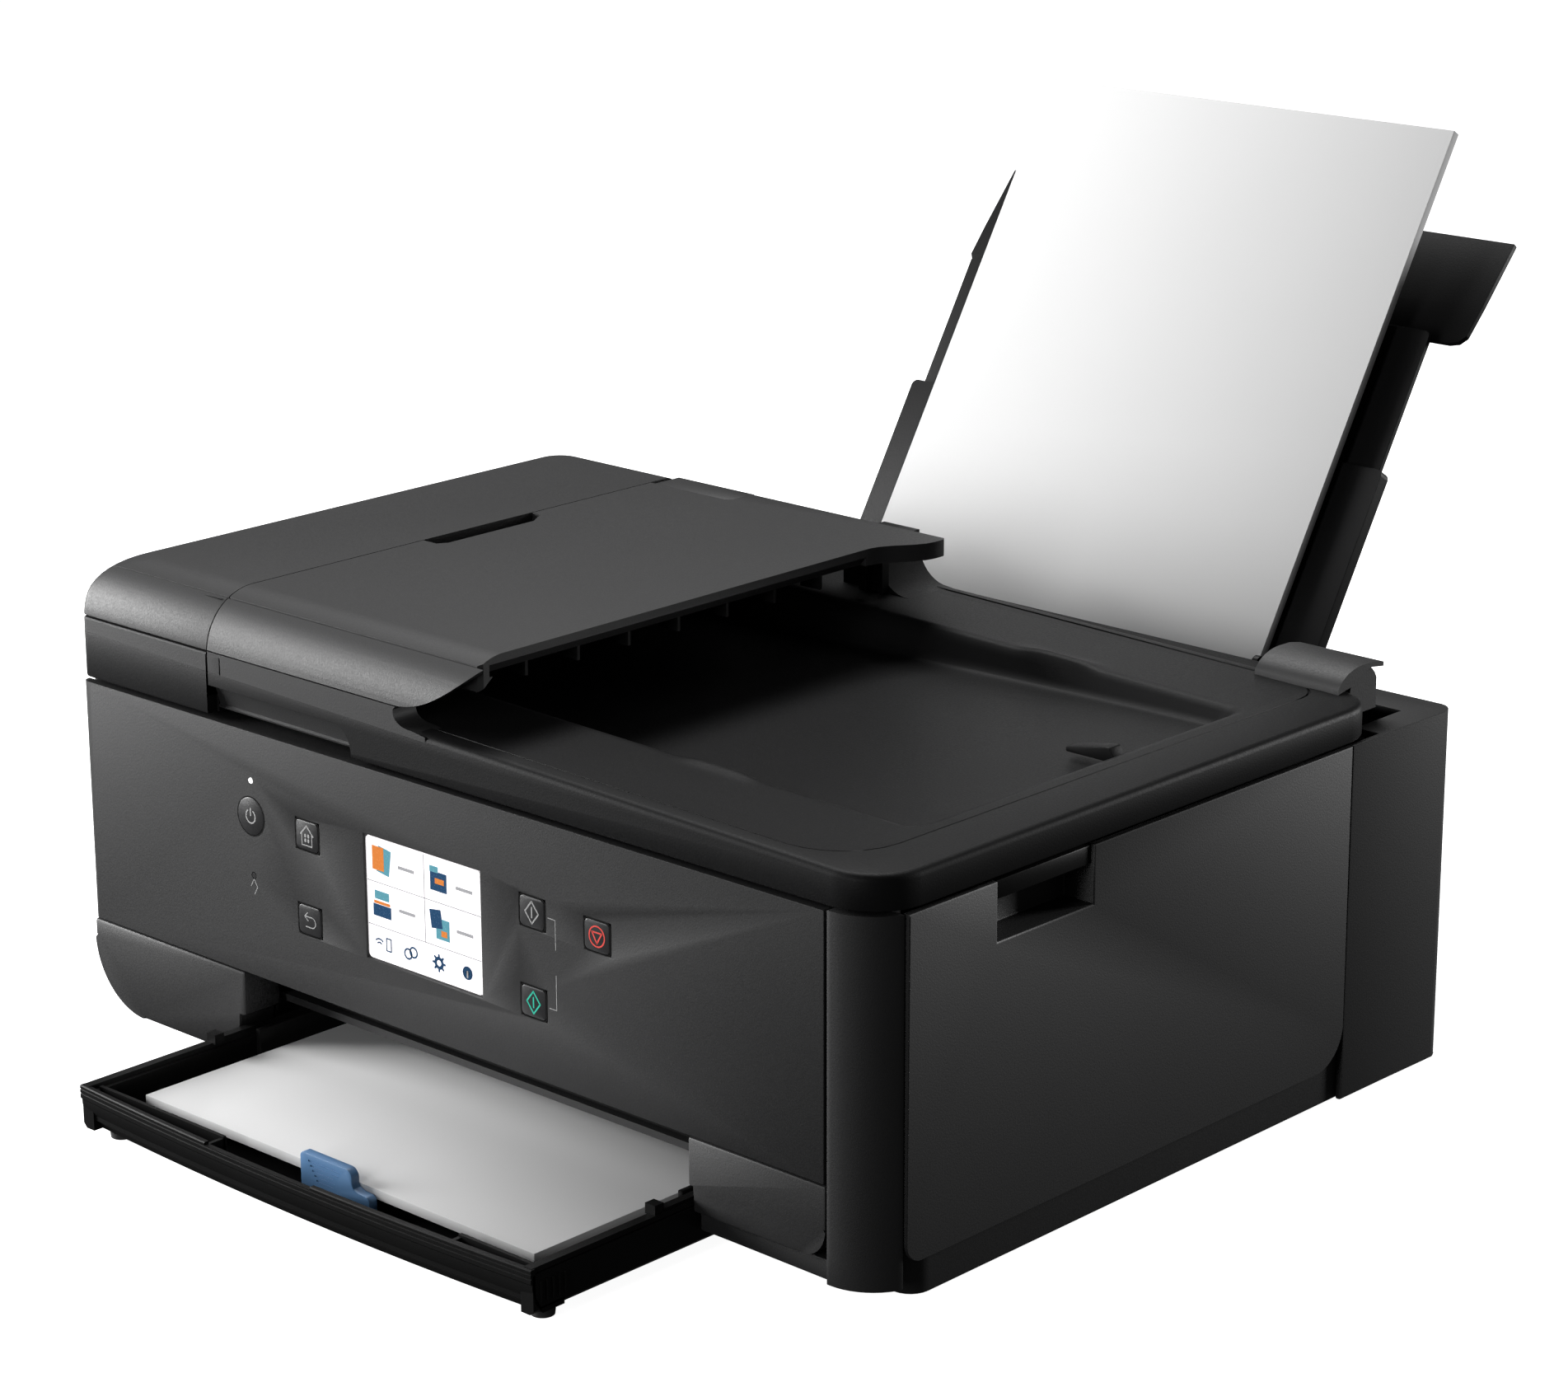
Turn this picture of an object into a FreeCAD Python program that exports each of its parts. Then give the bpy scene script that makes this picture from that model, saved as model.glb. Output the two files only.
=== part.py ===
import FreeCAD, Part
import Sketcher
import os
import re

# Desktop inkjet printer with scanner, document feeder, front paper cassette and rear paper tray.
# Millimetres, +X to the right seen from the front, +Y to the back, +Z up.
# Pieces are drawn with y = 0 on the front panel and moved back by origin_y, so that the
# origin is on the floor, under the middle of the whole machine.

os.makedirs("parts", exist_ok=True)
doc = FreeCAD.newDocument("inkjet_printer")
sheet = doc.addObject("Spreadsheet::Sheet", "Sheet")

SIZES = {
    "whole machine": {
        "origin_y": 196.6, "half_width": 215, "body_depth": 340, "body_top": 149.5,
        "wall": 3, "skin": 2.5, "gap": 0.4, "past": 2, "running": 0.05,
    },
    "base": {
        "base_half": 211.6, "base_front": 22, "base_back": 334, "base_floor": 4, "base_top": 38,
        "bay_left": -128.5, "bay_right": 130.5, "bay_top": 29, "bay_back": 326,
    },
    "front frame": {
        "frame_half": 206, "frame_front": 18.5, "frame_top": 148, "frame_low": 8,
        "mouth_left": -125, "mouth_right": 127, "mouth_top": 50, "corner_bottom": 11,
        "column_left": 190.8, "column_depth": 15, "column_round": 22, "rib_width": 3.6,
        "rib_front": 6,
    },
    "lower front covers": {
        "left_cover_end": -120.4, "left_cover_low": 10.5, "left_cover_round": 30,
        "right_cover_start": 124, "right_cover_end": 190.4, "right_cover_low": 19,
        "right_cover_round": 12, "cover_top": 47.4, "cover_depth": 18,
    },
    "side panels": {
        "side_front": 15.3, "side_back": 271.3, "side_low": 20, "side_round_back": 17,
        "side_round_front": 8, "side_skin": 3, "grip_front": 62, "grip_back": 115,
        "grip_low": 127, "grip_lip_low": 142, "grip_depth": 14, "grip_wall": 2,
    },
    "rear housing": {
        "rear_front": 271.7, "rear_low": 4.4, "rear_round": 8, "rear_top_front": 291.5,
        "notch_in": 147, "notch_out": 201, "notch_front": 283, "notch_back": 322,
        "notch_low": 128, "hatch_left": -100, "hatch_right": 124, "hatch_low": 20,
        "hatch_high": 88, "hatch_pin": 0.9, "inlet_left": -190, "inlet_right": -160, "inlet_low": 45,
        "inlet_high": 67, "inlet_depth": 16, "inlet_pin": 1.2, "inlet_pin_offset": 5,
        "port_low": 88, "port_high": 101, "port_depth": 14, "usb_left": -155, "usb_width": 12,
        "jack_left": -190, "jack_width": 14, "jack_pitch": 17,
    },
    "rear tray": {
        "tray_x": 12, "lean": 31.7, "sheet_half": 107.95, "sheet_length": 279.4,
        "stack": 4, "foot_y": 315.9, "foot_z": 113.8, "hopper_half": 131.5,
        "hopper_inner": 128.9, "hopper_front": 303, "hopper_low": 97, "hopper_top": 152,
        "hopper_back_low": 326, "hopper_exit": 114.5, "hopper_back": 358, "hopper_lip": 149,
        "lower_half": 127.4, "lower_front": 8.2, "lower_back": 14, "lower_start": 20,
        "lower_end": 133.3, "lower_slot_half": 124.6, "lower_slot_front": 10.9,
        "upper_half": 123.6, "upper_front": 11.3, "upper_back": 13.6, "upper_start": 100,
        "upper_end": 195.9, "arm_start": 70, "arm_width": 8, "arm_low": 186, "arm_high": 195,
        "arm_back": 20, "flap_pin_y": 17, "flap_pin_u": 191, "flap_pin": 1.5, "ear_reach": 2.2,
        "flap_lean": 10.8, "flap_half": 134.9, "flap_length": 50.9, "flap_skin": 3,
        "flap_foot_y": 20.8, "flap_foot_u": 195.1, "flap_round": 6,
        "guide_gap": 0.45, "guide_width": 2.6, "guide_front": -5.5, "guide_back": 7.5,
        "guide_start": 2, "guide_end": 44,
    },
    "operation panel": {
        "panel_left": -211, "panel_right": 189.7, "panel_low": 48, "panel_high": 149,
        "panel_depth": 14, "panel_round": 3.4, "wing_depth": 3.8,
        "panel_pin_y": 3.2, "panel_pin_z": 145.8,
        "panel_pin": 1.2, "screen_left": -46, "screen_right": 17.5, "screen_low": 73,
        "screen_high": 122, "screen_front": 0.8, "screen_back": 6, "screen_round": 2,
        "board_left": -128, "board_right": 95, "board_low": 62, "board_high": 134,
        "board_front": 8.5, "board_skin": 1.6, "button_front": -0.2, "button_back": 3.6,
        "button_round": 2, "power_x": -112.2, "power_z": 114.3, "power_radius": 7.7,
        "left_keys_x": -79, "home_z": 113.8, "back_z": 79.2, "start_keys_x": 45.7,
        "black_z": 113.1, "colour_z": 78.1, "stop_x": 79.5, "stop_z": 112.2,
        "key_width": 13, "key_height": 11.8, "lamp_x": -111.8, "lamp_z": 128.9,
        "alarm_z": 90, "lamp_radius": 1.5,
    },
    "cassette": {
        "cassette_x": 1, "inner_half": 118.2, "inner_wall": 2.5, "inner_front": 2,
        "inner_back": 224, "inner_low": 8.2, "inner_floor_low": 11.2, "inner_floor": 13.7,
        "inner_top": 24, "guide_slot": 18, "outer_half": 125, "outer_wall": 6.3, "outer_front": -85.4,
        "outer_back": 78, "outer_low": 5.2, "outer_floor": 7.7, "outer_top": 23,
        "outer_front_wall": 11.4, "pad_radius": 5, "pad_x": 117, "pad_y": -67,
        "stack_low": 14, "stack_front": -62, "end_guide_left": -11, "end_guide_right": 27,
        "end_guide_tab": 17.5, "end_guide_front": -66.4, "end_guide_back": -62.5,
        "end_guide_low": 8.2, "end_guide_foot": 11.5, "end_guide_top": 24, "slider_half": 7,
        "slider_front": -67, "slider_back": -38, "slider_top": 10.6, "end_guide_round": 3,
    },
    "output tray": {
        "output_left": -108, "output_right": 112, "output_front": 24, "output_back": 170,
        "output_low": 33, "output_high": 36, "output_round": 12,
    },
    "print engine": {
        "engine_half": 200, "engine_sheet": 2, "engine_front": 60, "engine_back": 198,
        "engine_top": 118, "roller_shaft": 4, "roller_radius": 6, "feed_y": 178, "exit_y": 112,
        "roller_z": 54, "roller_start": -120, "roller_count": 5, "roller_pitch": 50,
        "roller_width": 34, "platen_left": -131.5, "platen_right": 70, "platen_front": 122,
        "platen_back": 168, "platen_top": 49, "carriage_left": 75, "carriage_right": 185,
        "carriage_front": 125, "carriage_back": 190, "carriage_low": 61, "carriage_top": 112,
        "slide_shaft_y": 184, "slide_shaft_z": 98, "slide_shaft": 3.5, "tank_width": 18.6,
        "tank_pitch": 20.6, "tank_left": 79.5, "tank_front": 129, "tank_back": 176,
        "tank_low": 66, "tank_top": 108, "tank_count": 5, "purge_left": 76, "purge_right": 190,
        "purge_top": 58, "belt_half": 190, "belt_low": 78, "belt_high": 92, "belt_front": 191,
        "belt_back": 195, "belt_skin": 1.2, "supply_left": -196, "supply_right": -140,
        "supply_front": 205, "supply_back": 320, "supply_low": 7.2, "supply_top": 80,
        "logic_left": -197, "logic_right": -139, "logic_low": 85.8, "logic_top": 87.4,
    },
    "scanner": {
        "scan_half": 197.5, "scan_front": 24, "scan_back": 288, "scan_low": 122,
        "scan_top": 150, "scan_floor": 125, "scan_ceiling": 147.5, "glass_half": 152,
        "glass_front": 45, "glass_back": 262, "glass_skin": 2.3, "glass_ledge": 4,
        "bar_left": -190, "bar_width": 20, "bar_front": 40, "bar_back": 270, "bar_low": 128,
        "bar_top": 144, "lip_reach": 213.5, "scan_pin_y": 304, "scan_pin_z": 141,
        "hinge_pin": 3.5, "arm_in": 164, "arm_out": 184, "arm_reach": 309,
        "arm_bottom": 134, "arm_top": 146,
    },
    "document cover": {
        "lid_low": 151, "lid_back": 290, "rim_top": 166, "rim_round": 20, "dish_floor": 158,
        "dish_left": -128, "dish_right": 188, "dish_front": 14, "dish_back": 280,
        "ledge_right": -134.9, "ledge_back": 270, "ledge_top": 175.8,
        "notch_left_x": -140, "notch_right_x": -52, "notch_top": 163, "notch_deep": 14,
        "band_right": -26, "band_depth": 11.5, "band_top": 175.8, "slot_wall": 7.9,
        "exit_low": 170, "exit_high": 175,
        "column_start": -30, "column_end": 13, "column_front": 262.8, "column_top": 198,
        "pad_half": 150, "pad_front": 46, "pad_back": 260, "pad_skin": 2,
        "cap_in": 160, "cap_out": 198, "cap_front": 288, "cap_back": 311, "cap_low": 153, "cap_top": 173,
        "cap_round": 9, "cap_wall": 2.5, "lid_pin_y": 300, "lid_pin_z": 160, "boss": 6.5,
        "neck_in": 168, "neck_out": 180, "neck_back": 294.5, "stopper_x": 170, "stopper_y": 170,
        "stopper_length": 22, "stopper_width": 7, "stopper_top": 165,
    },
    "document feeder": {
        "feeder_right": -135.3, "feeder_low": 177, "feeder_top": 199, "feeder_back": 262,
        "feeder_round": 21, "feeder_side_round": 14, "feeder_pin_x": -213.5,
        "feeder_pin_z": 178.5, "feeder_pin": 0.8, "lug_half": 1.4, "lug_front": 20,
        "lug_back": 240, "lug_length": 4,
        "tray_left": -134.7, "tray_right": 6, "tray_front": 12.3, "tray_low": 192,
        "finger_front": 114, "finger_back": 175, "finger_reach": -124, "finger_low": 193.5,
        "trim_right": 11, "trim_low": 177, "tray_pin_x": 7.5,
        "tray_pin_z": 196, "tray_pin": 1.6, "knuckle": 3, "doc_guide_left": -110,
        "doc_guide_right": -50, "doc_guide_low": 185, "doc_guide_width": 4,
        "front_doc_guide": 50, "rear_doc_guide": 215, "pick_x": -150, "drive_x": -182,
        "feeder_roller_z": 182, "feeder_roller_radius": 8, "feeder_shaft": 3,
        "feeder_shaft_front": 30, "feeder_shaft_back": 244, "feeder_tyre_front": 110,
        "feeder_tyre_back": 164, "feeder_well_left": -205, "feeder_well_low": 170,
        "feeder_well_front": 26, "feeder_well_back": 248,
    },
    "feet and screws": {
        "foot_x": 192, "foot_front": 60, "foot_rear": 312, "foot_radius": 7,
        "screw_x": 206, "screw_low": 24, "screw_high": 120, "screw_head": 3,
    },
}


def fill_sheet():
    row = 1
    for group, cells in SIZES.items():
        sheet.set(f"A{row}", group)
        row += 1
        for alias, number in cells.items():
            sheet.set(f"A{row}", alias.replace("_", " "))
            sheet.set(f"B{row}", str(number))
            sheet.setAlias(f"B{row}", alias)
            row += 1
    doc.recompute()


ALIASES = {alias for cells in SIZES.values() for alias in cells}
WORD = re.compile(r"[a-z][a-z_0-9]*")
TURN = {
    "x": FreeCAD.Rotation(FreeCAD.Vector(0, 1, 0), 90),
    "y": FreeCAD.Rotation(FreeCAD.Vector(1, 0, 0), -90),
    "z": FreeCAD.Rotation(),
}
sub_parts = []


def size(alias):
    return float(sheet.get(alias))


def formula(text):
    """The text with each cell's alias written as a spreadsheet reference."""
    return WORD.sub(lambda word: "Sheet." + word[0] if word[0] in ALIASES else word[0], text)


def bind(thing, prop, text):
    thing.setExpression(prop, formula(text))


def new_body(label):
    body = doc.addObject("PartDesign::Body", label)
    body.Label = label
    bind(body, "Placement.Base.y", "-origin_y")
    sub_parts.append(body)
    return body


def leaning_body(label):
    """A body drawn along the leaning rear tray: y through the sheets, z up the tray."""
    body = new_body(label)
    lean = FreeCAD.Rotation(FreeCAD.Vector(1, 0, 0), -size("lean"))
    body.Placement = FreeCAD.Placement(FreeCAD.Vector(), lean)
    bind(body, "Placement.Base.x", "tray_x")
    bind(body, "Placement.Base.y", "foot_y - origin_y")
    bind(body, "Placement.Base.z", "foot_z")
    return body


def span_box(box, x, y, z):
    for side, axis, (low, high) in (("Length", "x", x), ("Width", "y", y), ("Height", "z", z)):
        bind(box, side, f"({high}) - ({low})")
        bind(box, f"Placement.Base.{axis}", low)
    return box


def span_cylinder(cylinder, along, centre, span, radius):
    low, high = span
    cylinder.Placement = FreeCAD.Placement(FreeCAD.Vector(), TURN[along])
    bind(cylinder, "Radius", radius)
    bind(cylinder, "Height", f"({high}) - ({low})")
    bind(cylinder, f"Placement.Base.{along}", low)
    for axis, place in zip("xyz".replace(along, ""), centre):
        bind(cylinder, f"Placement.Base.{axis}", place)
    return cylinder


def mirrored(side, start, end):
    """The span from start to end on the right, or its mirror image on the left."""
    return (start, end) if side == "right" else (f"-({end})", f"-({start})")


def add_box(body, x, y, z):
    return span_box(body.newObject("PartDesign::AdditiveBox", "Block"), x, y, z)


def cut_box(body, x, y, z):
    return span_box(body.newObject("PartDesign::SubtractiveBox", "Hollow"), x, y, z)


def add_cylinder(body, along, centre, span, radius):
    feature = body.newObject("PartDesign::AdditiveCylinder", "Round")
    return span_cylinder(feature, along, centre, span, radius)


def cut_cylinder(body, along, centre, span, radius):
    feature = body.newObject("PartDesign::SubtractiveCylinder", "Bore")
    return span_cylinder(feature, along, centre, span, radius)


def edges_on(shape, sides):
    """Names of the straight edges that lie on two outer sides of the shape, such as x+ and z-."""
    box = shape.BoundBox
    faces = {
        "x-": ("x", box.XMin), "x+": ("x", box.XMax), "y-": ("y", box.YMin),
        "y+": ("y", box.YMax), "z-": ("z", box.ZMin), "z+": ("z", box.ZMax),
    }
    found = []
    for number, edge in enumerate(shape.Edges, 1):
        on_side = all(
            abs(getattr(vertex.Point, faces[side][0]) - faces[side][1]) < 0.01
            for vertex in edge.Vertexes
            for side in sides
        )
        if on_side and len(edge.Vertexes) == 2:
            found.append(f"Edge{number}")
    return found


def round_edges(body, radius, *corners):
    """Rounds the outer edges of the body's last feature; each corner is a pair of sides."""
    doc.recompute()
    base = body.Tip
    edges = [name for sides in corners for name in edges_on(base.Shape, sides.split())]
    fillet = body.newObject("PartDesign::Fillet", "Rounding")
    fillet.Base = (base, edges)
    bind(fillet, "Radius", radius)
    return fillet


def outline(body, role, corners, offset="0"):
    """A closed sketch on one of the body's origin planes, with each corner tied to the sheet."""
    plane = next(p for p in body.Origin.OriginFeatures if p.Role == role)
    sketch = body.newObject("Sketcher::SketchObject", "Outline")
    sketch.AttachmentSupport = [(plane, "")]
    sketch.MapMode = "FlatFace"
    bind(sketch, "AttachmentOffset.Base.z", offset)
    circle = Part.Circle(FreeCAD.Vector(), FreeCAD.Vector(0, 0, 1), 100)
    rough = circle.discretize(len(corners) + 1)
    for start, end in zip(rough, rough[1:]):
        sketch.addGeometry(Part.LineSegment(start, end), False)
    for index, (across, up) in enumerate(corners):
        before = (index - 1) % len(corners)
        sketch.addConstraint(Sketcher.Constraint("Coincident", before, 2, index, 1))
        for kind, place in (("DistanceX", across), ("DistanceY", up)):
            number = sketch.addConstraint(Sketcher.Constraint(kind, -1, 1, index, 1, 1.0))
            bind(sketch, f"Constraints[{number}]", place)
    return sketch


def pad(body, sketch, length, backwards=False):
    feature = body.newObject("PartDesign::Pad", "Pad")
    feature.Profile = sketch
    feature.Reversed = backwards
    bind(feature, "Length", length)
    return feature


fill_sheet()


# ---- Base and casing ----

def base_frame():
    """Lower case: an open bay for the paper cassette between two side wells."""
    body = new_body("base_frame")
    low, top = "base_floor", "base_top"
    depth = ("base_front", "base_back")
    inside = ("base_front + wall", "base_back - wall")
    add_box(body, ("-base_half", "base_half"), depth, (low, top))
    cut_box(body, ("bay_left", "bay_right"), ("0", "bay_back"), ("0", "bay_top"))
    above_floor = (low + " + wall", top + " + past")
    cut_box(body, ("-base_half + wall", "bay_left - wall"), inside, above_floor)
    cut_box(body, ("bay_right + wall", "base_half - wall"), inside, above_floor)
    above_bay = ("bay_top + wall", top + " + past")
    cut_box(body, ("bay_left", "bay_right"), ("0", "base_back - wall"), above_bay)


def front_frame():
    """Inner front wall with the rounded corner column that shows beside the operation panel."""
    body = new_body("front_frame")
    back = "frame_front + wall"
    column_back = "column_round + past"
    column_height = ("corner_bottom - past", "body_top + past")
    add_box(body, ("column_left", "half_width"), ("0", column_back), ("corner_bottom", "body_top"))
    round_edges(body, "column_round", "x+ y-")
    beside = ("frame_half", "half_width + past")
    cut_box(body, beside, ("column_depth", column_back + " + past"), column_height)
    behind = (back, column_back + " + past")
    cut_box(body, ("column_left - past", "half_width + past"), behind, column_height)
    add_box(body, ("-frame_half", "frame_half"), ("frame_front", back), ("frame_low", "frame_top"))
    column_inner = ("column_left", "frame_half")
    add_box(body, column_inner, ("column_depth - past", back), ("frame_low", "frame_top"))
    left_rib = ("-half_width", "-half_width + rib_width")
    add_box(body, left_rib, ("rib_front", "column_depth"), ("panel_low", "body_top"))
    left_web = ("-half_width", "-frame_half + past")
    web_front = "panel_depth + 2 * gap"
    add_box(body, left_web, (web_front, "column_depth"), ("panel_low", "body_top"))
    left_end = ("-frame_half - past", "-frame_half + past")
    add_box(body, left_end, (web_front, back), ("panel_low", "frame_top"))
    cut_box(body, ("mouth_left", "mouth_right"), ("0", back + " + past"), ("0", "mouth_top"))
    sill = ("corner_bottom", "right_cover_low - gap")
    add_box(body, ("mouth_right", "column_left + past"), ("wall", back), sill)
    bore = ("panel_pin_y", "panel_pin_z")
    cut_cylinder(body, "x", bore, ("column_left - past", "column_left + past"), "panel_pin")
    cut_cylinder(body, "x", bore, ("-half_width + past", "-half_width + 2 * past"), "panel_pin")


def lower_cover(label, across, low, radius, corner):
    """Shallow cover beside the cassette mouth; a step at its inner end clears the cassette."""
    body = new_body(label)
    add_box(body, across, ("0", "cover_depth"), (low, "cover_top"))
    round_edges(body, radius, corner)
    inside = (across[0] + " + wall", across[1] + " - wall")
    hollow_depth = ("wall", "cover_depth + past")
    cut_box(body, inside, hollow_depth, (f"{low} + {radius}", "cover_top - wall"))
    return body


def lower_left_cover():
    """Cover left of the cassette mouth, with the large lower corner."""
    across = ("-half_width", "left_cover_end")
    body = lower_cover("lower_left_cover", across, "left_cover_low", "left_cover_round", "x- z-")
    lower = ("-half_width + left_cover_round", "cassette_x - outer_half - wall")
    hollow_depth = ("wall", "cover_depth + past")
    cut_box(body, lower, hollow_depth, ("left_cover_low + wall", "cover_top - wall"))
    step = ("cassette_x - outer_half - gap", "left_cover_end + past")
    cut_box(body, step, ("-past", "cover_depth + past"), ("left_cover_low - past", "bay_top"))
    beside_panel = ("-half_width - past", "-half_width + side_skin + gap")
    cut_box(body, beside_panel, ("side_front - gap", "cover_depth + past"), ("0", "body_top"))


def lower_right_cover():
    """Cover right of the cassette mouth."""
    across = ("right_cover_start", "right_cover_end")
    body = lower_cover("lower_right_cover", across, "right_cover_low", "right_cover_round", "x+ z-")
    step = ("right_cover_start - past", "cassette_x + outer_half + gap")
    cut_box(body, step, ("-past", "cover_depth + past"), ("right_cover_low - past", "bay_top"))


def side_panel(label, side):
    """Outer side panel with its rounded lower corners and the lifting grip's cup."""
    body = new_body(label)
    skin = mirrored(side, "half_width - side_skin", "half_width")
    add_box(body, skin, ("side_front", "side_back"), ("side_low", "body_top"))
    round_edges(body, "side_round_back", "y+ z-")
    round_edges(body, "side_round_front", "y- z-")
    cup = ("grip_front - grip_wall", "grip_back + grip_wall")
    cup_floor = "half_width - grip_depth - grip_wall"
    cup_width = mirrored(side, cup_floor, "half_width - side_skin")
    add_box(body, cup_width, cup, ("grip_low - grip_wall", "body_top"))
    hollow = mirrored(side, "half_width - grip_depth", "half_width + past")
    cut_box(body, hollow, ("grip_front", "grip_back"), ("grip_low", "body_top + past"))
    door = mirrored(side, cup_floor + " - past", "half_width - grip_depth + past")
    cut_box(body, door, ("grip_front", "grip_back"), ("grip_lip_low - past", "body_top + past"))


def rear_housing():
    """Deep rear casing, with openings for the rear tray, hinges, hatch and sockets."""
    body = new_body("rear_housing")
    inner = ("-half_width + wall", "half_width - wall")
    through = ("body_depth - wall - past", "body_depth + past")
    add_box(body, ("-half_width", "half_width"), ("rear_front", "body_depth"), ("rear_low", "body_top"))
    round_edges(body, "rear_round", "x- y+", "x+ y+")
    cut_box(body, inner, ("rear_front - past", "body_depth - wall"), ("0", "body_top - wall"))
    cut_box(body, inner, ("rear_front - past", "rear_top_front"), ("scan_low", "body_top + past"))
    slot = ("tray_x - hopper_half - gap", "tray_x + hopper_half + gap")
    cut_box(body, slot, ("hopper_front - gap", "body_depth + past"), ("hopper_exit", "body_top + past"))
    notch_depth = ("notch_front", "notch_back")
    notch_height = ("notch_low", "body_top + past")
    cut_box(body, ("notch_in", "notch_out"), notch_depth, notch_height)
    cut_box(body, ("-notch_out", "-notch_in"), notch_depth, notch_height)
    for start in ("notch_in - wall", "notch_out", "-notch_in", "-notch_out - wall"):
        ear = (start, start + " + wall")
        pivot = ("scan_pin_y", "scan_pin_z")
        ear_depth = ("scan_pin_y - boss", "scan_pin_y + boss")
        add_box(body, ear, ear_depth, ("scan_pin_z - boss", "body_top - running"))
        cut_cylinder(body, "x", pivot, (start + " - past", start + " + wall + past"), "hinge_pin")
    for x in ("-screw_x", "screw_x"):
        for z in ("screw_low", "screw_high"):
            cut_cylinder(body, "y", (x, z), ("body_depth - past", "body_depth + past"), "screw_head")
    hatch_height = ("hatch_low - gap", "hatch_high + gap")
    cut_box(body, ("hatch_left - gap", "hatch_right + gap"), through, hatch_height)
    hatch_pins = ("hatch_left - wall", "hatch_right + wall")
    hatch_axis = ("body_depth - wall / 2", "hatch_low + wall / 2")
    cut_cylinder(body, "x", hatch_axis, hatch_pins, "hatch_pin + running")
    cut_box(body, ("inlet_left", "inlet_right"), through, ("inlet_low", "inlet_high"))
    cut_box(body, ("usb_left", "usb_left + usb_width"), through, ("port_low", "port_high"))
    for jack in ("jack_left", "jack_left + jack_pitch"):
        cut_box(body, (jack, jack + " + jack_width"), through, ("port_low", "port_high"))


def rear_access_cover():
    """Hatch in the back, hinged at its lower edge, for clearing jammed paper."""
    body = new_body("rear_access_cover")
    depth = ("body_depth - wall", "body_depth")
    add_box(body, ("hatch_left", "hatch_right"), depth, ("hatch_low", "hatch_high"))
    round_edges(body, "wall", "x- z+", "x+ z+")
    round_edges(body, "wall / 2 - running", "y- z-", "y+ z-")
    axis = ("body_depth - wall / 2", "hatch_low + wall / 2")
    pin_reach = "(wall - running)"
    for span in ((f"hatch_left - {pin_reach}", "hatch_left + wall"),
                 ("hatch_right - wall", f"hatch_right + {pin_reach}")):
        add_cylinder(body, "x", axis, span, "hatch_pin")


def rear_tray_frame():
    """Hopper in the top of the rear casing that holds the foot of the leaning paper."""
    body = new_body("rear_tray_frame")
    corners = (
        ("hopper_front", "hopper_low"),
        ("hopper_back_low", "hopper_low"),
        ("hopper_back", "hopper_lip"),
        ("hopper_back", "hopper_top"),
        ("hopper_front", "hopper_top"),
    )
    sketch = outline(body, "YZ_Plane", corners, "tray_x - hopper_half")
    pad(body, sketch, "2 * hopper_half")
    height = "(hopper_top - hopper_low)"
    half = ("tray_x - hopper_inner", "tray_x + hopper_inner")
    support_depth = ("lower_front - gap", "lower_back + running + gap")
    leaning_cut(body, half, support_depth, (f"-{height}", f"2 * {height}"))
    leaning_cut(body, half, ("guide_front - gap", "guide_back + gap"), ("-gap", f"2 * {height}"))


def leaning_cut(body, x, through, up):
    """Cuts a box square to the leaning sheets; it starts at the foot of the rear tray."""
    box = cut_box(body, x, through, up)
    lean = FreeCAD.Rotation(FreeCAD.Vector(1, 0, 0), -size("lean"))
    box.Placement = FreeCAD.Placement(FreeCAD.Vector(), lean)
    bind(box, "Placement.Base.x", x[0])
    across, along = f"({through[0]})", f"({up[0]})"
    bind(box, "Placement.Base.y", f"foot_y + {across} * cos(lean * 1 deg) + {along} * sin(lean * 1 deg)")
    bind(box, "Placement.Base.z", f"foot_z - {across} * sin(lean * 1 deg) + {along} * cos(lean * 1 deg)")


def power_inlet():
    """Two-pin mains inlet: a socket body with its contact pins."""
    body = new_body("power_inlet")
    front, back = "body_depth - inlet_depth", "body_depth"
    add_box(body, ("inlet_left", "inlet_right"), (front, back), ("inlet_low", "inlet_high"))
    inner = ("inlet_left + wall", "inlet_right - wall")
    cut_box(body, inner, (front + " + wall", back + " + past"), ("inlet_low + wall", "inlet_high - wall"))
    middle = "(inlet_left + inlet_right) / 2"
    for side in ("-", "+"):
        place = (f"{middle} {side} inlet_pin_offset", "(inlet_low + inlet_high) / 2")
        add_cylinder(body, "y", place, (front, back + " - wall"), "inlet_pin")


def interface_ports():
    """Data socket and two telephone sockets on the back edge of the main board."""
    body = new_body("interface_ports")
    front, back = "body_depth - port_depth", "body_depth"
    rail = ("jack_left", "usb_left + usb_width")
    add_box(body, rail, (front, "body_depth - wall"), ("port_low", "port_high"))
    second_jack = "jack_left + jack_pitch"
    sockets = (("jack_left", "jack_width"), (second_jack, "jack_width"), ("usb_left", "usb_width"))
    for start, width in sockets:
        add_box(body, (start, f"{start} + {width}"), (front, back), ("port_low", "port_high"))
        mouth = (f"{start} + past", f"{start} + {width} - past")
        cut_box(body, mouth, (front + " + wall", back + " + past"), ("port_low + past", "port_high - past"))


# ---- Operation panel ----

BUTTONS = {
    "home_button": ("left_keys_x", "home_z"),
    "back_button": ("left_keys_x", "back_z"),
    "black_start_button": ("start_keys_x", "black_z"),
    "colour_start_button": ("start_keys_x", "colour_z"),
    "stop_button": ("stop_x", "stop_z"),
}


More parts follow.
